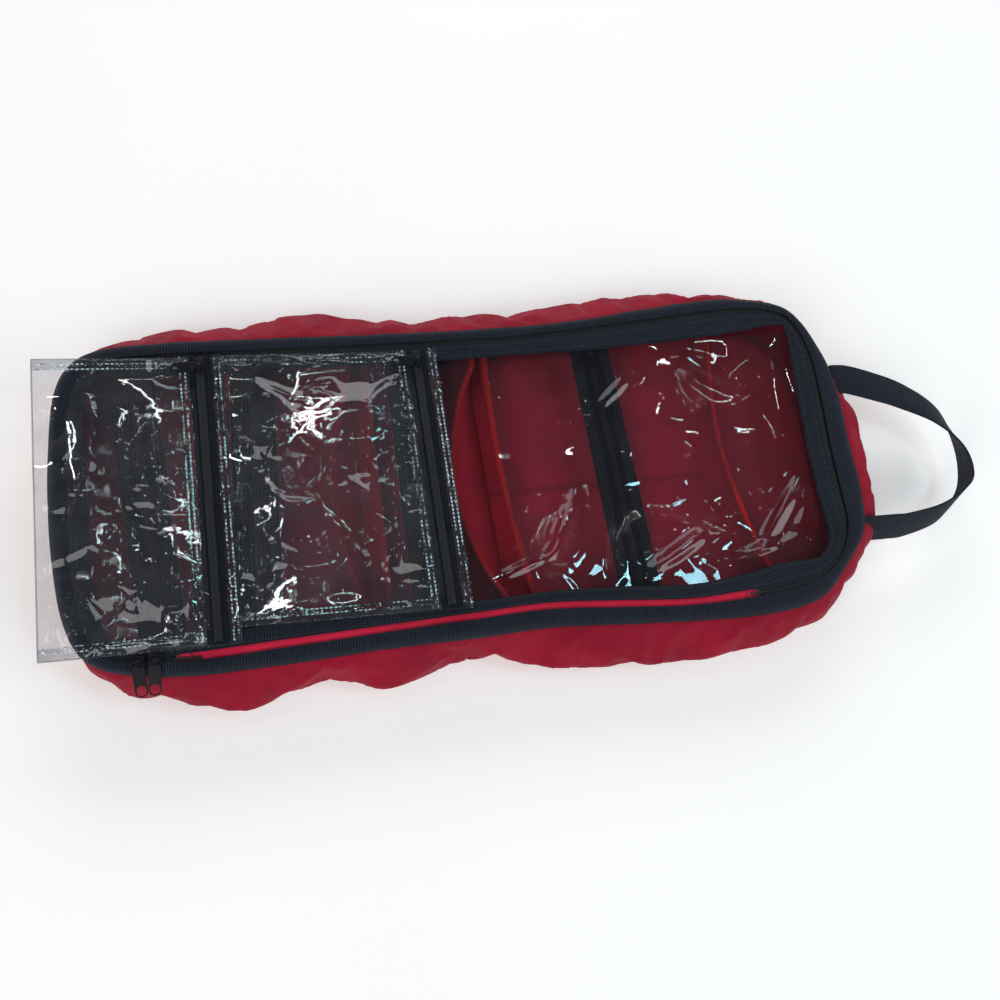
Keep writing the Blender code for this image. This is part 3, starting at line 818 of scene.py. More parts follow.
def make_base(looks):
    """The bag's flat bottom with a slightly rumpled cloth and its welt seam."""
    loop = rim_loop(0, 1, 0.35)
    rings = 14
    centre_half = 0.20

    def place(i, j):
        point = loop[i]
        core = Vector((max(-centre_half, min(centre_half, point.x)), 0.0, 0.0))
        share = 1 - j / rings
        spot = core.lerp(point, share)
        lift = 0.0010 + 0.0007 * wobble(spot.x, spot.y, 0.0, 24.0, 5.0) * (1 - share**6)
        return Vector((spot.x, spot.y, lift))

    mesh = grid_mesh("base_cloth", len(loop), rings, place, wrap=True)
    for face in mesh.polygons:
        for corner in face.loop_indices:
            spot = mesh.vertices[mesh.loops[corner].vertex_index].co
            mesh.uv_layers[0].data[corner].uv = (spot.x, spot.y)
    item = add_piece("base_cloth", mesh, looks["lining"], "tray", "red_lining", "base_panel")
    thicken(item, 0.0009, 0.0)
    edge = rim_loop(0, 1, 0.30)
    welt = tube_mesh([point + raised(0.0021) for point in edge], 0.0019, closed=True)
    add_piece("base_welt", welt, looks["nylon"], "tray", "red_nylon")


def band_strip(name, edges, look, ripple, seed):
    """Webbing lofted through edges, each a (loop, height) pair from the zip outwards."""

    def place(i, j):
        loop, height = edges[j]
        point = loop[i]
        wave = ripple * j / (len(edges) - 1)
        lift = height + wave * wobble(point.x, point.y, 0.0, 48.0, seed)
        return Vector((point.x, point.y, lift))

    mesh = grid_mesh(name, len(edges[0][0]), len(edges) - 1, place, wrap=True)
    item = add_object(name, mesh, look)
    thicken(item, BAND_THICKNESS, -1.0, 0.0004)
    return item


def make_body_band(looks):
    """Black webbing round the tray's mouth: flat by the zip, curling down over the wall."""
    shares = [(0.90, 0.0), (0.70, 0.0003), (0.48, 0.0002), (0.28, -0.0010), (0.12, -0.0030),
              (0.02, -0.0058), (-0.02, -0.0085)]
    edges = [(rim_loop(0, 1, share, -0.10 * share), BAND_TOP + drop) for share, drop in shares]
    item = band_strip("body_webbing", edges, looks["webbing"], 0.0012, 1.7)
    assign(item, "tray", "black_webbing", "body_band")
    rows = [stitch_row(rim_loop(0, 1, share), BAND_TOP + drop, STITCH_PITCH)
            for share, drop in ((0.74, 0.0002), (0.16, -0.0018))]
    make_stitches("body_webbing_stitches", rows, looks["thread"], "tray", "black_webbing")


def make_lid_band(looks):
    """Black webbing round the clear window, folded over its edge."""
    shares = [(0.10, 0.0), (0.22, 0.0004), (0.45, 0.0006), (0.72, 0.0005), (0.94, 0.0001),
              (1.0, -0.0012)]
    edges = [(rim_loop(1, 2, share, 0.13 * (1 - share)), BAND_TOP + drop) for share, drop in shares]
    item = band_strip("lid_webbing", edges, looks["webbing"], 0.0007, 6.2)
    assign(item, "lid", "black_webbing", "lid_band")
    rows = [stitch_row(rim_loop(1, 2, share), BAND_TOP + 0.0005, STITCH_PITCH)
            for share in (0.34, 0.84)]
    make_stitches("lid_webbing_stitches", rows, looks["thread"], "lid", "black_webbing")


def stitch_row(loop, height, pitch, closed=True):
    """Centres and directions of stitches spaced evenly along a line."""
    points = [Vector((p.x, p.y, p.z + height)) for p in loop]
    if closed:
        points.append(points[0])
    lengths = running_lengths(points)
    count = int(lengths[-1] / pitch)
    stitches = []
    index = 0
    for k in range(count):
        target = (k + 0.5) * pitch
        while lengths[index + 1] < target:
            index += 1
        a, b = points[index], points[index + 1]
        share = (target - lengths[index]) / (lengths[index + 1] - lengths[index])
        stitches.append((a.lerp(b, share), (b - a).normalized()))
    return stitches


def stitch_mesh(rows, length, width, sink):
    """All stitches of some rows as one mesh of small arched thread loops."""
    vertices = []
    faces = []
    profile = [(-0.5, 0.0), (-0.28, 1.0), (0.28, 1.0), (0.5, 0.0)]
    for row in rows:
        for centre, along in row:
            across = Vector((-along.y, along.x, 0.0)).normalized()
            up = along.cross(across)
            if up.z < 0:
                up = -up
            first = len(vertices)
            for share, rise in profile:
                middle = centre + along * (share * length)
                top = middle + up * (rise * width * 0.55 - sink)
                vertices.append(top - across * width / 2 - up * width * 0.5)
                vertices.append(top)
                vertices.append(top + across * width / 2 - up * width * 0.5)
            for k in range(3):
                for side in range(2):
                    a = first + 3 * k + side
                    faces.append((a, a + 1, a + 4, a + 3))
    return built_mesh("stitches", vertices, faces)


def make_stitches(name, rows, look, body, slot, length=0.0022, width=0.0006):
    return add_piece(name, stitch_mesh(rows, length, width, -0.0001), look, body, slot)


def straight_line(offset, length, height):
    """Points along Y from +length / 2 to -length / 2."""
    return [Vector((offset, length * (0.5 - k / 40), height)) for k in range(41)]


def stitched_lines(length, offsets, height):
    """Rows of stitches along Y at the given offsets from the middle of a zip."""
    lines = [straight_line(offset, length, 0.0) for offset in offsets]
    return [stitch_row(line, height, STITCH_PITCH, closed=False) for line in lines]


# ---------------------------------------------------------------- zips


def teeth_mesh(points, side, pitch, size):
    """One half of a coil: a leaning tooth at every pitch along the points."""
    row = stitch_row(points, 0.0, pitch, closed=False)
    tooth = box_mesh(size, (0, 0, 0), min(size) * 0.38, 1)
    source = [vertex.co.copy() for vertex in tooth.vertices]
    polygons = [tuple(face.vertices) for face in tooth.polygons]
    vertices = []
    faces = []
    for centre, along in row:
        across = Vector((-along.y, along.x, 0.0)) * side
        lean = (across + along * 0.35).normalized()
        other = Vector((-lean.y, lean.x, 0.0))
        first = len(vertices)
        for corner in source:
            spot = centre + other * corner.x + lean * corner.y
            vertices.append(spot + Vector((0, 0, corner.z)))
        faces += [tuple(first + k for k in face) for face in polygons]
    return built_mesh("teeth", vertices, faces)


def open_run(loop):
    """The part of a closed rim loop that the zip follows: all but the red hinge strip."""
    count = len(loop)
    left, right = ZIP_ENDS
    keep = [k for k in range(count) if loop[k].y > 0 or not left < loop[k].x < right]
    start = max(range(len(keep)), key=lambda i: (keep[i] - keep[i - 1]) % count)
    return [loop[k] for k in keep[start:] + keep[:start]]


def strip_mesh(name, first, second, height):
    """A narrow ribbon lofted between two open lines at a height."""

    def place(i, j):
        return first[i].lerp(second[i], j / 2) + raised(height)

    return grid_mesh(name, len(first) - 1, 2, place)


def make_main_zip(looks):
    """Both halves of the main zip: a tape under each webbing and the coil in the gap."""
    halves = {"tray": ("body_zip_tape", 0, 0.30, 1), "lid": ("lid_zip_tape", 2, 0.26, -1)}
    for body, (node, towards, reach, side) in halves.items():
        line = open_run(rim_loop(1))
        far = open_run(rim_loop(1, towards, reach))
        count = min(len(line), len(far))
        near = open_run(rim_loop(1, towards, 0.012))[:count]
        tape = strip_mesh(node, near, far[:count], ZIP_TAPE_Z)
        coil_line = [a.lerp(b, 0.13) + Vector((0, 0, ZIP_TAPE_Z + 0.0011))
                     for a, b in zip(line, far)]
        teeth = teeth_mesh(coil_line, side, 0.0013, (0.00085, 0.0030, 0.0014))
        name = f"{body}_zip_half"
        item = merged(name, [(tape, looks["tape"]), (teeth, looks["coil"])])
        assign(item, body, "black_zip", node)


def zip_tape_mesh(width, length, ripple, seed):
    """A flat zip tape along Y with soft ripples, made about the origin."""
    columns = max(12, int(length / 0.006))
    rows = 8

    def place(i, j):
        y = length * (0.5 - i / columns)
        x = width * (j / rows - 0.5)
        lift = ripple * wobble(x, y, 0.0, 60.0, seed)
        return Vector((x, y, lift))

    return grid_mesh("tape", columns, rows, place)


def coil_meshes(length, width, height):
    """A closed coil along Y: two rows of leaning teeth."""
    pitch = 0.0014
    size = (pitch * 0.62, width * 0.52, 0.0015)
    return [teeth_mesh(straight_line(side * width * 0.22, length, height), side, pitch, size)
            for side in (-1, 1)]


def zip_piece(name, tape, coil, matrix, body, node, looks):
    """A straight zip: its tape and both halves of its coil, put in place."""
    parts = [(tape, looks["tape"])] + [(half, looks["coil"]) for half in coil]
    item = merged(name, parts)
    item.data.transform(matrix)
    assign(item, body, "black_zip", node)


def slider_mesh():
    """A coil zip's slider: origin on the coil's top, travel along X, narrow end at -X."""
    outline = [
        (-0.0048, -0.0027), (-0.0025, -0.0035), (0.0012, -0.0040), (0.0036, -0.0042),
        (0.0048, -0.0032), (0.0040, -0.0008), (0.0040, 0.0008), (0.0048, 0.0032),
        (0.0036, 0.0042), (0.0012, 0.0040), (-0.0025, 0.0035), (-0.0048, 0.0027),
    ]
    top = moved(plate_mesh([outline], 0.0013, 0.0004), Matrix.Translation((0, 0, 0.0017)))
    low = moved(plate_mesh([outline], 0.0010, 0.0003), Matrix.Translation((0, 0, -0.0016)))
    post = box_mesh((0.0016, 0.0024, 0.0034), (0.0030, 0, 0.0), 0.0004)
    arch = []
    for k in range(9):
        angle = math.pi * k / 8
        arch.append((-0.0032 * math.cos(angle), 0.0, 0.0018 + 0.0030 * math.sin(angle)))
    bridge = moved(tube_mesh(arch, 0.00062), Matrix.Diagonal((1.0, 1.7, 1.0, 1.0)))
    rails = [box_mesh((0.0050, 0.0009, 0.0007), (-0.0002, y, 0.0024), 0.0002)
             for y in (0.0024, -0.0024)]
    return join_meshes([top, low, post, bridge] + rails)


def pull_mesh(length, width, ring):
    """A stamped pull lying towards +Y with its eye on the X axis; ring is its open end."""
    half = width / 2
    neck = 0.0017
    body = [
        (-neck, -0.0016), (neck, -0.0016), (neck, 0.0022), (half, 0.0040), (half, length - half),
    ]
    for k in range(1, 8):
        angle = math.pi * k / 8
        body.append((half * math.cos(angle), length - half + half * math.sin(angle)))
    body += [(-half, length - half), (-half, 0.0040), (-neck, 0.0022)]
    eye = rounded(-0.0010, 0.0010, -0.0009, 0.0010, 0.0007, 3)
    inner = half - 0.0011
    if ring:
        low = length - half - ring
        hole = rounded(-inner, inner, low, length - 0.0012, inner * 0.75, 4)
    else:
        centre = length - half
        hole = [(0.0019 * math.cos(a * math.pi / 8), centre + 0.0019 * math.sin(a * math.pi / 8))
                for a in range(16)]
    plate = plate_mesh([body, eye, hole], 0.0012, 0.00035)
    panel_end = length - half - (ring + 0.0016 if ring else 0.0042)
    relief = rounded(-half + 0.0016, half - 0.0016, 0.0058, panel_end, 0.0009, 3)
    panel = moved(plate_mesh([relief], 0.0007, 0.0002), Matrix.Translation((0, 0, 0.00055)))
    return join_meshes([plate, panel])


def join_meshes(meshes):
    """One mesh from several that share a material."""
    shape = bmesh.new()
    for mesh in meshes:
        shape.from_mesh(mesh)
    joined = bpy.data.meshes.new("joined")
    shape.to_mesh(joined)
    shape.free()
    smooth(joined)
    return joined


def put_metal(node, suffix, mesh, matrix, looks):
    """A placed copy of a slider or pull, riding on the body that bears its node's name."""
    name = f"{node}_{suffix}"
    add_piece(name, moved(mesh, matrix), looks["metal"], node, "black_metal", node)


def box_middle(node):
    low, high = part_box(node)
    return (low + high) / 2


def make_main_sliders(looks):
    """Two sliders parked side by side at the front left with their pulls hanging outside."""
    slider = slider_mesh()
    pull = pull_mesh(0.0245, 0.0085, 0.0035)
    for number in (1, 2):
        centre = box_middle(f"main_slider_{number}")
        turn = Matrix.Rotation(math.pi * (number - 1) + math.radians(-4), 4, "Z")
        matrix = Matrix.Translation((centre.x, centre.y, BAND_TOP + 0.0020)) @ turn
        put_metal(f"main_slider_{number}", "body", slider, matrix, looks)
        droop = Matrix.Rotation(math.radians(-15.0), 4, "X")
        fan = Matrix.Rotation(math.pi + math.radians(3.0 if number == 1 else -5.0), 4, "Z")
        bail = Matrix.Translation((centre.x, centre.y, BAND_TOP + 0.0045))
        put_metal(f"main_pull_{number}", "tab", pull, bail @ fan @ droop, looks)


def bowed_x(line, y):
    """The x at y of a wall or cover edge given as (rear, front, bow)."""
    rear_x, front_x, bow = line
    return rear_x + (front_x - rear_x) * (0.5 - y / 0.2) + bow * max(0.0, 1 - (y / 0.1) ** 2)


def make_cell_walls(looks):
    """Red cloth walls of the cells with a bright bound edge along their tops."""
    for name, line in CELL_WALLS.items():
        seed = line[0] * 90

        def place(i, j, line=line, seed=seed):
            y = CELL_HALF_DEPTH * (1 - i / 24)
            v = j / 8
            z = CELL_WALL_FOOT + (CELL_WALL_TOP - CELL_WALL_FOOT) * v
            x = bowed_x((line[0], line[1], line[2] * v), y)
            x += 0.0022 * math.sin(math.pi * v) * wobble(0.0, y, z, 36.0, seed)
            return Vector((x, y, z))

        wall = grid_mesh(name, 48, 8, place)
        item = add_piece(
            f"{name}_cloth", wall, looks["lining"], "tray", "red_lining", f"{name}_wall"
        )
        thicken(item, 0.0009, 0.0)
        edge = []
        for k in range(61):
            y = BINDING_HALF_DEPTH * (1 - k / 30)
            x = bowed_x(line, y) + 0.0006 * wobble(0.0, y, 0.0, 60.0, seed)
            edge.append(Vector((x, y, CELL_WALL_TOP + 0.0011)))
        binding = binding_mesh(edge, 0.0048, 0.0030, seed)
        add_piece(f"{name}_binding", binding, looks["piping"], "tray", "red_nylon")


def binding_mesh(points, width, height, seed):
    """Bias tape folded over an edge: a flattened oval tube with small puckers."""
    sides = 10
    count = len(points)

    def place(i, j):
        ahead = points[min(i + 1, count - 1)] - points[max(i - 1, 0)]
        across = Vector((-ahead.y, ahead.x, 0.0)).normalized()
        angle = 2 * math.pi * j / sides
        spot = points[i]
        pucker = 1 + 0.10 * wobble(spot.x, spot.y, angle * 0.01, 150.0, seed)
        side = across * (math.cos(angle) * width / 2 * pucker)
        return spot + side + Vector((0, 0, math.sin(angle) * height / 2 * pucker))

    return grid_mesh("binding", count - 1, sides, place)


def crease_set(seed, count, bounds, rise=0.0010):
    """Seeded sharp creases: centre, direction, half length, bend and height of each."""
    source = random.Random(seed)
    left, right, front, rear = bounds
    creases = []
    for _ in range(count):
        turn = source.uniform(0.0, math.pi)
        place = (source.uniform(left, right), source.uniform(front, rear))
        reach = source.uniform(0.007, 0.024)
        bend = source.uniform(-38.0, 38.0)
        height = source.choice((-1, 1)) * source.uniform(0.45, 1.0) * rise
        creases.append((place, (math.cos(turn), math.sin(turn)), reach, bend, height))
    return creases


def crease_height(x, y, creases, width=0.0021):
    """The rise at x, y from every crease that passes it."""
    height = 0.0
    for (centre_x, centre_y), (cosine, sine), reach, bend, rise in creases:
        along = ((x - centre_x) * cosine + (y - centre_y) * sine) / reach
        if abs(along) < 1:
            across = (y - centre_y) * cosine - (x - centre_x) * sine - bend * (along * reach) ** 2
            if abs(across) < 3 * width:
                height += rise * math.exp(-((across / width) ** 2)) * (1 - along * along) ** 1.5
    return height


def crumple(x, y, seed, size):
    """Creased film: smooth swells crossed by sharp ridges."""
    swell = wobble(x, y, 0.0, 15.0, seed)
    ridge = 1 - 2 * abs(wobble(x, y, 0.0, 26.0, seed + 4.0))
    return size * (0.72 * swell + 0.28 * ridge)


def make_covers(looks):
    """Clear covers over the cells, split either side of each cell's zip, and the end pocket's
    cover.
    """
    inside_left = (-0.284, -0.284, 0.0)
    inside_right = (0.280, 0.280, 0.0)
    reach = INNER_ZIP_WIDTH / 2 - 0.009
    for number, (rear_x, front_x) in INNER_ZIPS.items():
        left = CELL_WALLS.get(f"cell_{number}_left", inside_left)
        right = CELL_WALLS[f"cell_{number}_right"]
        zip_left = (rear_x - reach, front_x - reach, 0.0)
        zip_right = (rear_x + reach, front_x + reach, 0.0)
        sides = {"left": (left, zip_left), "right": (zip_right, right)}
        for side, (low, high) in sides.items():
            cover_piece(f"cell_{number}_{side}_cover", low, high, looks, number * 7.3)
    beyond = CELL_WALLS["cell_4_right"]
    start = (beyond[0] + 0.002, beyond[1] + 0.002, beyond[2])
    cover_piece("end_pocket_cover", start, inside_right, looks, 51.0)


def cover_piece(node, left, right, looks, seed):
    """A clear sheet between two bowed lines."""
    span = (min(left[0], left[1]), max(right[0], right[1]), -0.1, 0.1)
    creases = crease_set(seed, 9, span)
    columns, rows = (110, 38)

    def place(i, j):
        y = INNER_ZIP_HALF * (1 - 2 * i / columns)
        low = bowed_x(left, y)
        x = low + (bowed_x(right, y) - low) * j / rows
        near = max(0.0, 1 - (y / INNER_ZIP_HALF) ** 8)
        rumple = crumple(x, y, seed, 0.0034) + crease_height(x, y, creases)
        return Vector((x, y, COVER_Z + 0.0012 + rumple * near))

    name = f"{node}_film"
    mesh = grid_mesh(name, columns, rows, place)
    item = add_piece(name, mesh, looks["cover"], "tray", "clear_vinyl", node)


def run_matrix(x, y, z, lean):
    """Puts a zip made about the origin at a place, turned by its lean."""
    return Matrix.Translation((x, y, z)) @ Matrix.Rotation(-lean, 4, "Z")


def make_inner_zips(looks):
    """The cells' zips with their stitching, sliders and pulls."""
    slider = slider_mesh()
    pull = pull_mesh(0.0140, 0.0062, 0.0)
    quarter = Matrix.Rotation(math.pi / 2, 4, "Z")
    for number, (rear_x, front_x) in INNER_ZIPS.items():
        lean = math.atan2(rear_x - front_x, 0.2)
        centre_x = (rear_x + front_x) / 2
        length = 2 * INNER_ZIP_HALF
        name = f"inner_zip_{number}"
        matrix = run_matrix(centre_x, 0.0, COVER_Z + 0.0002, lean)
        tape = zip_tape_mesh(INNER_ZIP_WIDTH, length, 0.0009, number * 3.3)
        coil = coil_meshes(length - 0.004, 0.0060, 0.0012)
        zip_piece(f"{name}_tape_and_coil", tape, coil, matrix, "tray", name, looks)
        offsets = (-0.0135, -0.0105, -0.0045, 0.0045, 0.0105, 0.0135)
        rows = stitched_lines(length, offsets, 0.0010)
        stitches = make_stitches(
            f"{name}_stitches", rows, looks["thread"], "tray", "black_zip"
        )
        stitches.data.transform(matrix)
        place = box_middle(f"inner_slider_{number}")
        at_slider = Matrix.Translation((place.x, place.y, COVER_Z + 0.0026)) @ quarter
        put_metal(f"inner_slider_{number}", "body", slider, at_slider, looks)
        bail = Matrix.Translation((place.x, place.y, INNER_BAIL_Z)) @ quarter
        put_metal(f"inner_pull_{number}", "tab", pull, bail, looks)


# ---------------------------------------------------------------- lid


# Dents pressed in the window: x, y, half width, half depth, turn in degrees, depth.
WINDOW_DENTS = [
    (0.060, -0.048, 0.034, 0.012, 62, 0.0050),
    (0.030, -0.070, 0.030, 0.008, 20, 0.0030),
    (0.098, -0.066, 0.022, 0.010, 75, 0.0040),
    (0.150, -0.072, 0.038, 0.011, 28, 0.0048),
    (0.172, -0.050, 0.026, 0.009, -25, 0.0034),
    (0.238, -0.052, 0.030, 0.010, 50, 0.0046),
    (0.215, -0.078, 0.026, 0.007, 8, 0.0030),
    (0.118, 0.060, 0.022, 0.008, 40, 0.0022),
    (0.200, 0.072, 0.020, 0.007, -30, 0.0020),
]


def window_height(x, y, creases):
    """The window's rise or dip at x, y: swells, creases and dents, more along the front."""
    front = clamp((0.02 - y) / 0.09)
    height = crumple(x, y, 2.4, 0.0009 + 0.0022 * front) + crease_height(x, y, creases)
    for centre_x, centre_y, long, short, turn, depth in WINDOW_DENTS:
        angle = math.radians(turn)
        dx = x - centre_x
        dy = y - centre_y
        a = (dx * math.cos(angle) + dy * math.sin(angle)) / long
        b = (dy * math.cos(angle) - dx * math.sin(angle)) / short
        height -= depth * math.exp(-(a * a + b * b)) * math.cos(2.6 * b)
    return height


def make_window(looks):
    """The clear lid window, held in its webbing, dented along the front."""
    loop = rim_loop(2, 1, 0.40)
    left = min(point.x for point in loop) + 0.0004
    right = max(point.x for point in loop) - 0.0004
    columns, rows = (300, 108)
    creases = crease_set(8, 26, (-0.02, right, -0.09, 0.1), 0.0008)

    def place(i, j):
        swing = 0.5 - 0.5 * math.cos(math.pi * i / columns)
        t = 0.3 * swing + 0.7 * i / columns
        x = left + (right - left) * t
        front, rear = span_at(loop, x)
        y = front + (rear - front) * j / rows
        edge = min(x - left, right - x, y - front, rear - y)
        free = clamp((edge - 0.006) / 0.022)
        free = free * free * (3 - 2 * free)
        return Vector((x, y, WINDOW_Z + free * min(window_height(x, y, creases) - 0.0012, 0.0015)))

    mesh = grid_mesh("lid_film", columns, rows, place)
    item = add_piece("lid_film", mesh, looks["window"], "lid", "clear_vinyl", "lid_window")


def make_hinge_strip(looks):
    """The red cloth that joins lid and tray along the front, arched a little between them."""
    columns, rows = (90, 10)
    left, right = STRIP_ENDS
    body_edge = rim_loop(0, 1, 0.72)
    lid_edge = rim_loop(1, 2, 0.30)

    def place(i, j):
        x = left + (right - left) * i / columns
        front = span_at(body_edge, x)[0]
        rear = span_at(lid_edge, x)[0]
        t = j / rows
        y = front + (rear - front) * t
        lift = 0.0006 * math.sin(math.pi * t) + 0.0004 * wobble(x, y, 0.0, 60.0, 12.0)
        return Vector((x, y, BAND_TOP - 0.0014 + lift))

    mesh = grid_mesh("hinge_cloth", columns, rows, place)
    item = add_object("hinge_cloth", mesh, looks["lining"])
    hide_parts("hinge_strip")
    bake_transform(item)
    for end, bars in TACKS.items():
        tack(f"strip_tack_{end}", bars, body_edge, lid_edge, looks)


def tack(name, bars, body_edge, lid_edge, looks):
    """Two bars of close stitches across the red strip where the hinge cloth ends."""
    rows = []
    for x in bars:
        front = span_at(body_edge, x)[0]
        rear = span_at(lid_edge, x)[0]
        line = [Vector((x, front + (rear - front) * k / 4, 0.0)) for k in range(5)]
        rows.append(stitch_row(line, BAND_TOP - 0.0004, 0.0014, closed=False))
    item = add_object(name, stitch_mesh(rows, 0.0018, 0.0008, -0.0003), looks["thread"])
    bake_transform(item)


# ---------------------------------------------------------------- pouches


def quad_at(corners, u, v):
    """The point at shares u from left and v from the front of a pouch's outline."""
    front_left, front_right, rear_right, rear_left = (Vector((*c, 0.0)) for c in corners)
    front = front_left.lerp(front_right, u)
    rear = rear_left.lerp(rear_right, u)
    return front.lerp(rear, v)


def make_pouch(number, corners, looks):
    """A loose clear pouch: back, puffed front, hems, stitched zip in its mouth, slider."""
    body = f"pouch_{number}"
    width = (Vector(corners[1]) - Vector(corners[0])).length
    depth = (Vector(corners[3]) - Vector(corners[0])).length
    zip_share = 1 - POUCH_ZIP_WIDTH / width
    seed = number * 17.0

    def back(i, j):
        spot = quad_at(corners, i / 40, j / 40)
        lift = 0.0004 + 0.0004 * wobble(spot.x, spot.y, 0.0, 30.0, seed)
        return spot + raised(POUCH_REST + lift)

    back_item = add_object(f"{body}_back_film", grid_mesh("back", 40, 40, back), looks["pouch"])
    pouch_piece(back_item, body, f"{body}_back")

    columns, rows = (84, 110)
    (left, front_y), (right, _), (_, rear_y), _ = corners
    span = (left + 0.004, right - 0.036, front_y + 0.010, rear_y - 0.008)
    creases = crease_set(number, 40, span, 0.0012)

    def front(i, j):
        u = i / columns
        v = j / rows
        spot = quad_at(corners, u * (zip_share + 0.35 * (1 - zip_share)), v)
        edge = min(u / 0.10, (1 - v) / 0.07, v / 0.07, 1.0)
        puff = math.sin(math.pi / 2 * min(1.0, edge))
        rise = (POUCH_MOUTH - POUCH_REST - 0.0012) * math.sin(u * math.pi / 2) ** 0.9
        crease = crumple(spot.x, spot.y, seed + 30.0, 0.0028)
        return spot + raised(POUCH_REST + 0.0012 + rise * puff**0.7 + crease * puff)

    mesh = grid_mesh("front", columns, rows, front)
    front_item = add_object(f"{body}_front_film", mesh, looks["pouch"])
    held = [i * (rows + 1) + j for i in range(columns + 1) for j in range(rows + 1)
            if i == 0 or i >= columns - 2 or j == 0 or j == rows]
    settle(front_item, held, 16, 0.25, 0.012, 0.004, 20.0, 1.5)
    press_creases(front_item, creases)
    pouch_piece(front_item, body, f"{body}_front")

    share = POUCH_HEM / depth
    hems = [hem_mesh(corners, 0.0, share, seed), hem_mesh(corners, 1.0, 1 - share, seed + 3)]
    assign(merged(f"{body}_hems", [(hem, looks["hem"]) for hem in hems]), body, "clear_vinyl")

    rows = []
    for v in (0.022, 0.040, 0.962, 0.980):
        line = [quad_at(corners, 0.02 + 0.83 * k / 40, v) for k in range(41)]
        rows.append(stitch_row(line, POUCH_REST + 0.0026, 0.0034, closed=False))
    # The hem stitches carry painted glints in their colour.
    make_stitches(
        f"{body}_hem_stitches", rows, looks["pucker"], body, "clear_vinyl", 0.0021, 0.0008
    )

    steps = [k / 20 for k in range(20)]
    outline = [quad_at(corners, t, 0.0) for t in steps]
    outline += [quad_at(corners, 1.0, t) for t in steps]
    outline += [quad_at(corners, 1.0 - t, 1.0) for t in steps]
    outline += [quad_at(corners, 0.0, 1.0 - t) for t in steps]
    rim = [p + raised(POUCH_REST + 0.0011 + 0.0004 * wobble(p.x, p.y, 0, 40, seed))
           for p in outline]
    welt = tube_mesh(rim, 0.00055, closed=True)
    add_piece(f"{body}_rim", welt, looks["hem"], body, "clear_vinyl")

    make_pouch_zip(number, corners, zip_share, looks)


def press_creases(item, creases):
    """Refine a settled film and press sharp creases into it, fading out at its edges."""
    mesh = item.data
    work = bmesh.new()
    work.from_mesh(mesh)
    bmesh.ops.subdivide_edges(work, edges=work.edges[:], cuts=1, use_grid_fill=True)
    bmesh.ops.smooth_vert(
        work, verts=[v for v in work.verts if not v.is_boundary], factor=0.5,
        use_axis_x=False, use_axis_y=False, use_axis_z=True,
    )
    left = min(vertex.co.x for vertex in work.verts)
    right = max(vertex.co.x for vertex in work.verts)
    for vertex in work.verts:
        x, y, z = vertex.co
        free = clamp((min(x - left, right - x) - 0.003) / 0.008)
        if not vertex.is_boundary:
            vertex.co.z = min(POUCH_CREASE_TOP, z + free * crease_height(x, y, creases, 0.0017))
    work.to_mesh(mesh)
    work.free()
    smooth(mesh)


def pouch_piece(item, body, node):
    """A film of a pouch, riding on its body in place of its CAD node."""
    assign(item, body, "clear_vinyl", node)


def hem_mesh(corners, start, end, seed):
    """The doubled, stitched hem along a pouch's front or rear edge."""

    def place(i, j):
        v = start + (end - start) * j / 4
        spot = quad_at(corners, i / 60, v)
        lift = 0.0013 + 0.0007 * wobble(spot.x, spot.y, 0.0, 50.0, seed)
        return spot + raised(POUCH_REST + lift + 0.0006 * math.sin(math.pi * j / 4))

    return grid_mesh("hem", 60, 4, place)


def flap_mesh(length, side, seed):
    """The clear strip sewn to one side of a pouch's zip tape, dimpled at every stitch."""
    columns, rows = (int(length / 0.0008), 12)

    def place(i, j):
        y = length * (0.5 - i / columns)
        x = 0.0078 * (j / rows - 0.5)
        dimple = 0.00035 * math.cos(2 * math.pi * y / 0.0032) * math.cos(2 * math.pi * j / 6)
        lift = 0.0008 + 0.0009 * wobble(x, y, side, 60.0, seed) + dimple
        return Vector((side * 0.0118 + x, y, lift))

    return grid_mesh("flap", columns, rows, place)


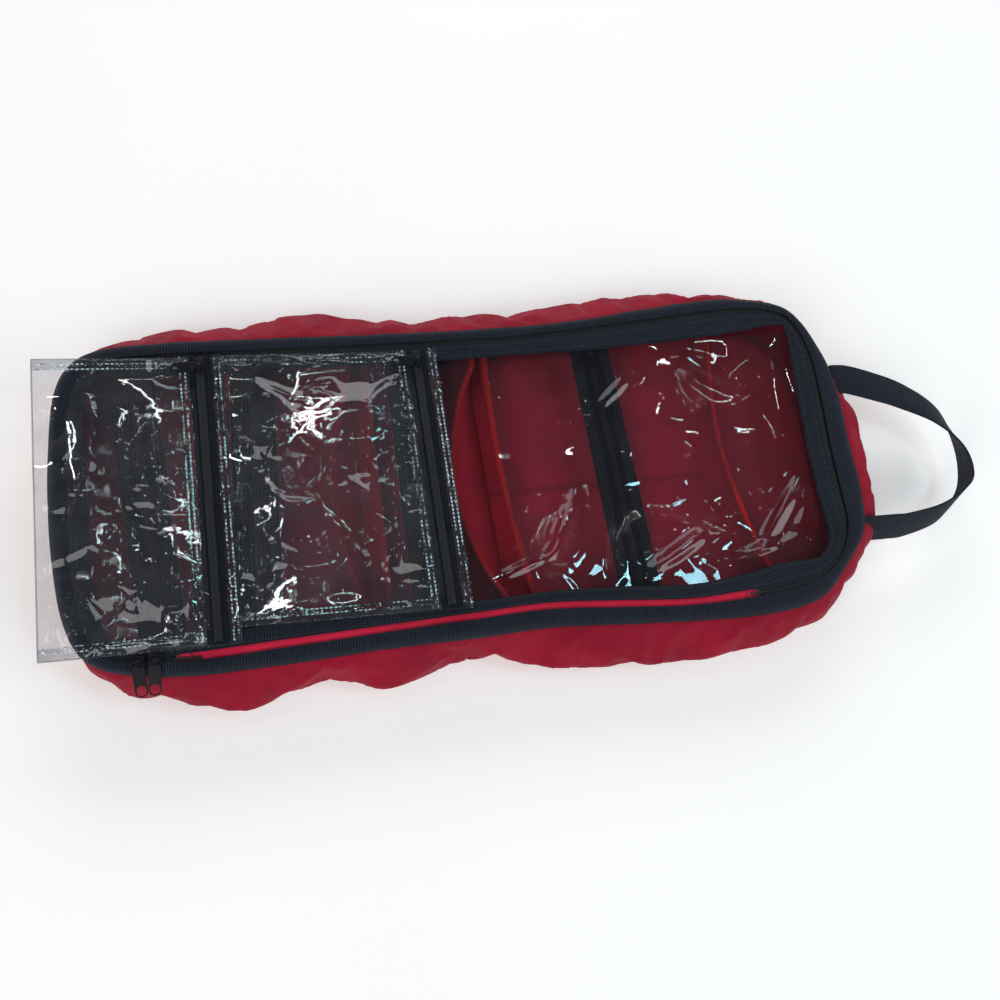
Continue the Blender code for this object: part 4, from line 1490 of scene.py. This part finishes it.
def make_pouch_zip(number, corners, zip_share, looks):
    """A pouch's zip with its clear flaps, stitching, edge strip, slider and pull."""
    body = f"pouch_{number}"
    start = quad_at(corners, (1 + zip_share) / 2, 0.0)
    end = quad_at(corners, (1 + zip_share) / 2, 1.0)
    along = end - start
    lean = math.atan2(along.x, along.y)
    length = along.length
    middle = (start + end) / 2
    matrix = run_matrix(middle.x, middle.y, POUCH_MOUTH, lean)
    tape = zip_tape_mesh(POUCH_TAPE_WIDTH, length, 0.0008, number * 5.0)
    coil = coil_meshes(length - 0.003, 0.0062, 0.0013)
    zip_piece(f"{body}_zip_tape", tape, coil, matrix, body, f"{body}_zip", looks)
    flaps = [flap_mesh(length - 0.002, side, number * 5.0) for side in (-1, 1)]
    flap_item = merged(f"{body}_zip_flaps", [(flap, looks["cover"]) for flap in flaps])
    flap_item.data.transform(matrix)
    assign(flap_item, body, "clear_vinyl")
    rows = stitched_lines(length, (-0.0138, -0.0104, 0.0104, 0.0138), 0.0018)
    # The zip stitches carry painted glints in their colour.
    stitches = make_stitches(
        f"{body}_zip_stitches", rows, looks["pucker"], body, "clear_vinyl", 0.0019, 0.0011
    )
    stitches.data.transform(matrix)

    low = POUCH_REST + 0.0012
    high = POUCH_MOUTH - 0.0004

    def edge(i, j):
        spot = quad_at(corners, 1.0, i / 60)
        bow = -0.0030 * math.sin(math.pi * j / 5)
        z = low + (high - low) * j / 5
        return Vector((spot.x - 0.0005 - bow * 0.3, spot.y, z))

    strip = grid_mesh("edge", 60, 5, edge)
    node = f"{body}_edge_strip"
    add_piece(f"{body}_edge_film", strip, looks["hem"], body, "clear_vinyl", node)

    place = box_middle(f"{body}_slider")
    zip_x = quad_at(corners, (1 + zip_share) / 2, 0.93).x
    quarter = Matrix.Rotation(math.pi / 2, 4, "Z")
    spot = Matrix.Translation((zip_x, place.y, POUCH_BAIL_Z - 0.0045)) @ quarter
    put_metal(f"{body}_slider", "body", slider_mesh(), spot, looks)
    bail = Matrix.Translation((zip_x, place.y, POUCH_BAIL_Z - 0.0004)) @ quarter
    put_metal(f"{body}_pull", "tab", pull_mesh(0.0200, 0.0078, 0.0), bail, looks)


# ---------------------------------------------------------------- handle


def make_handle(looks):
    """A loop of ribbed webbing sewn to the bag's right end, rolled on edge at its tip."""
    spans = len(HANDLE_ROUTE) - 1
    columns, rows = (150, 6)

    def centre(t):
        return spline_at(HANDLE_ROUTE, min(max(t, 0.0), spans - 1e-6))

    def place(i, j):
        t = spans * i / columns
        here = centre(t)
        ahead = centre(t + 0.08)
        behind = centre(t - 0.08)
        along = (ahead - behind).xyz.normalized()
        level = along.cross(Vector((0, 0, 1))).normalized()
        upright = level.cross(along)
        roll = math.radians(here.w)
        across = level * math.cos(roll) + upright * math.sin(roll)
        cup = 0.0008 * math.sin(math.pi * j / rows)
        up = across.cross(along)
        return here.xyz + across * (HANDLE_WIDTH * (j / rows - 0.5)) + up * cup

    mesh = grid_mesh("handle", columns, rows, place)
    item = add_object("handle_webbing", mesh, looks["webbing"])
    thicken(item, 0.0016, 0.0, 0.0005)
    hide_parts("carry_handle")
    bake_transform(item)


# ---------------------------------------------------------------- stage


GLINT_TUBES = 18
# Fields over the bag that the small tube lights are scattered in: left, right, front, rear.
GLINT_FIELDS = [
    (-0.80, -0.35, 0.60, 0.90), (-0.25, 0.15, 0.60, 0.88), (-0.70, 0.10, 0.10, 0.22),
    (0.45, 1.20, 0.66, 0.88), (-0.75, 0.15, 0.25, 0.60), (-0.92, -0.76, 0.45, 0.90),
]


def area_light(name, place, size, power, colour):
    """A rectangular light turned towards the middle of the bag."""
    data = bpy.data.lights.new(name, "AREA")
    data.shape = "RECTANGLE"
    data.size, data.size_y = size
    data.energy = power
    data.color = colour
    item = bpy.data.objects.new(name, data)
    item.location = place
    aim = Vector((0.0, 0.0, 0.03)) - Vector(place)
    item.rotation_euler = aim.to_track_quat("-Z", "Y").to_euler()
    bpy.context.scene.collection.objects.link(item)
    return item


def make_lights():
    """Three large soft boxes for shape and a few small bright panels for glints in the vinyl."""
    area_light("key", (-1.3, -1.2, 1.7), (1.5, 1.5), 23, (1.0, 0.985, 0.97))
    area_light("fill", (1.6, -0.9, 1.3), (1.6, 1.2), 14, (0.97, 0.98, 1.0))
    area_light("rear", (0.2, 1.9, 1.2), (2.0, 0.8), 19, (1.0, 0.98, 0.99))
    area_light("warm_spot", (-0.60, 0.80, 2.0), (0.035, 0.02), 0.035, (1.0, 0.86, 0.66))
    source = random.Random(12)
    for k in range(GLINT_TUBES):
        left, right, front, rear = GLINT_FIELDS[k % len(GLINT_FIELDS)]
        place = (source.uniform(left, right), source.uniform(front, rear), 2.0)
        size = (source.uniform(0.06, 0.16), 0.009)
        power = 150 * size[0] * size[1] * source.uniform(0.6, 1.5)
        tube = area_light(f"tube_{k + 1}", place, size, power, (1.0, 1.0, 1.0))
        tube.rotation_euler.rotate_axis("Z", source.uniform(-1.2, 1.2))
    area_light("window_light", (0.66, -0.12, 1.5), (0.20, 0.13), 2.2, (0.42, 0.85, 1.0))


def make_world():
    """A pale studio sky, brightest at the horizon."""
    world = bpy.data.worlds.new("studio")
    world.use_nodes = True
    tree = world.node_tree
    background = tree.nodes["Background"]
    direction = tree.nodes.new("ShaderNodeTexCoord").outputs["Generated"]
    split = add_node(tree, "ShaderNodeSeparateXYZ", {"Vector": direction})
    height = add_node(
        tree, "ShaderNodeMapRange", {"Value": split.outputs["Z"]},
        From_Min=0.05, From_Max=0.80, To_Min=0.42, To_Max=0.05,
    )
    tree.links.new(height.outputs["Result"], background.inputs["Strength"])
    background.inputs["Color"].default_value = (1.0, 0.98, 0.97, 1.0)
    bpy.context.scene.world = world


def make_floor():
    mesh = bpy.data.meshes.new("floor")
    reach = 6.0
    corners = [(-reach, -reach, 0), (reach, -reach, 0), (reach, reach, 0), (-reach, reach, 0)]
    mesh.from_pydata(corners, [], [(0, 1, 2, 3)])
    add_object("floor", mesh, floor_material())


def make_camera():
    data = bpy.data.cameras.new("camera")
    data.lens = CAMERA_LENS
    data.sensor_width = 36.0
    data.clip_start = 0.01
    camera = bpy.data.objects.new("camera", data)
    axes = Matrix((CAMERA_RIGHT, CAMERA_UP, CAMERA_BACK)).transposed().to_4x4()
    camera.matrix_world = Matrix.Translation(CAMERA_PLACE) @ axes
    bpy.context.scene.collection.objects.link(camera)
    bpy.context.scene.camera = camera


def build():
    bpy.context.scene.view_settings.view_transform = "Standard"
    make_camera()
    make_floor()
    make_world()
    make_lights()
    looks = make_materials()
    make_base(looks)
    make_walls(looks)
    make_body_band(looks)
    make_main_zip(looks)
    make_lid_band(looks)
    make_window(looks)
    make_hinge_strip(looks)
    make_cell_walls(looks)
    make_covers(looks)
    make_inner_zips(looks)
    make_main_sliders(looks)
    for number, corners in POUCHES.items():
        make_pouch(number, corners, looks)
    make_handle(looks)


build()
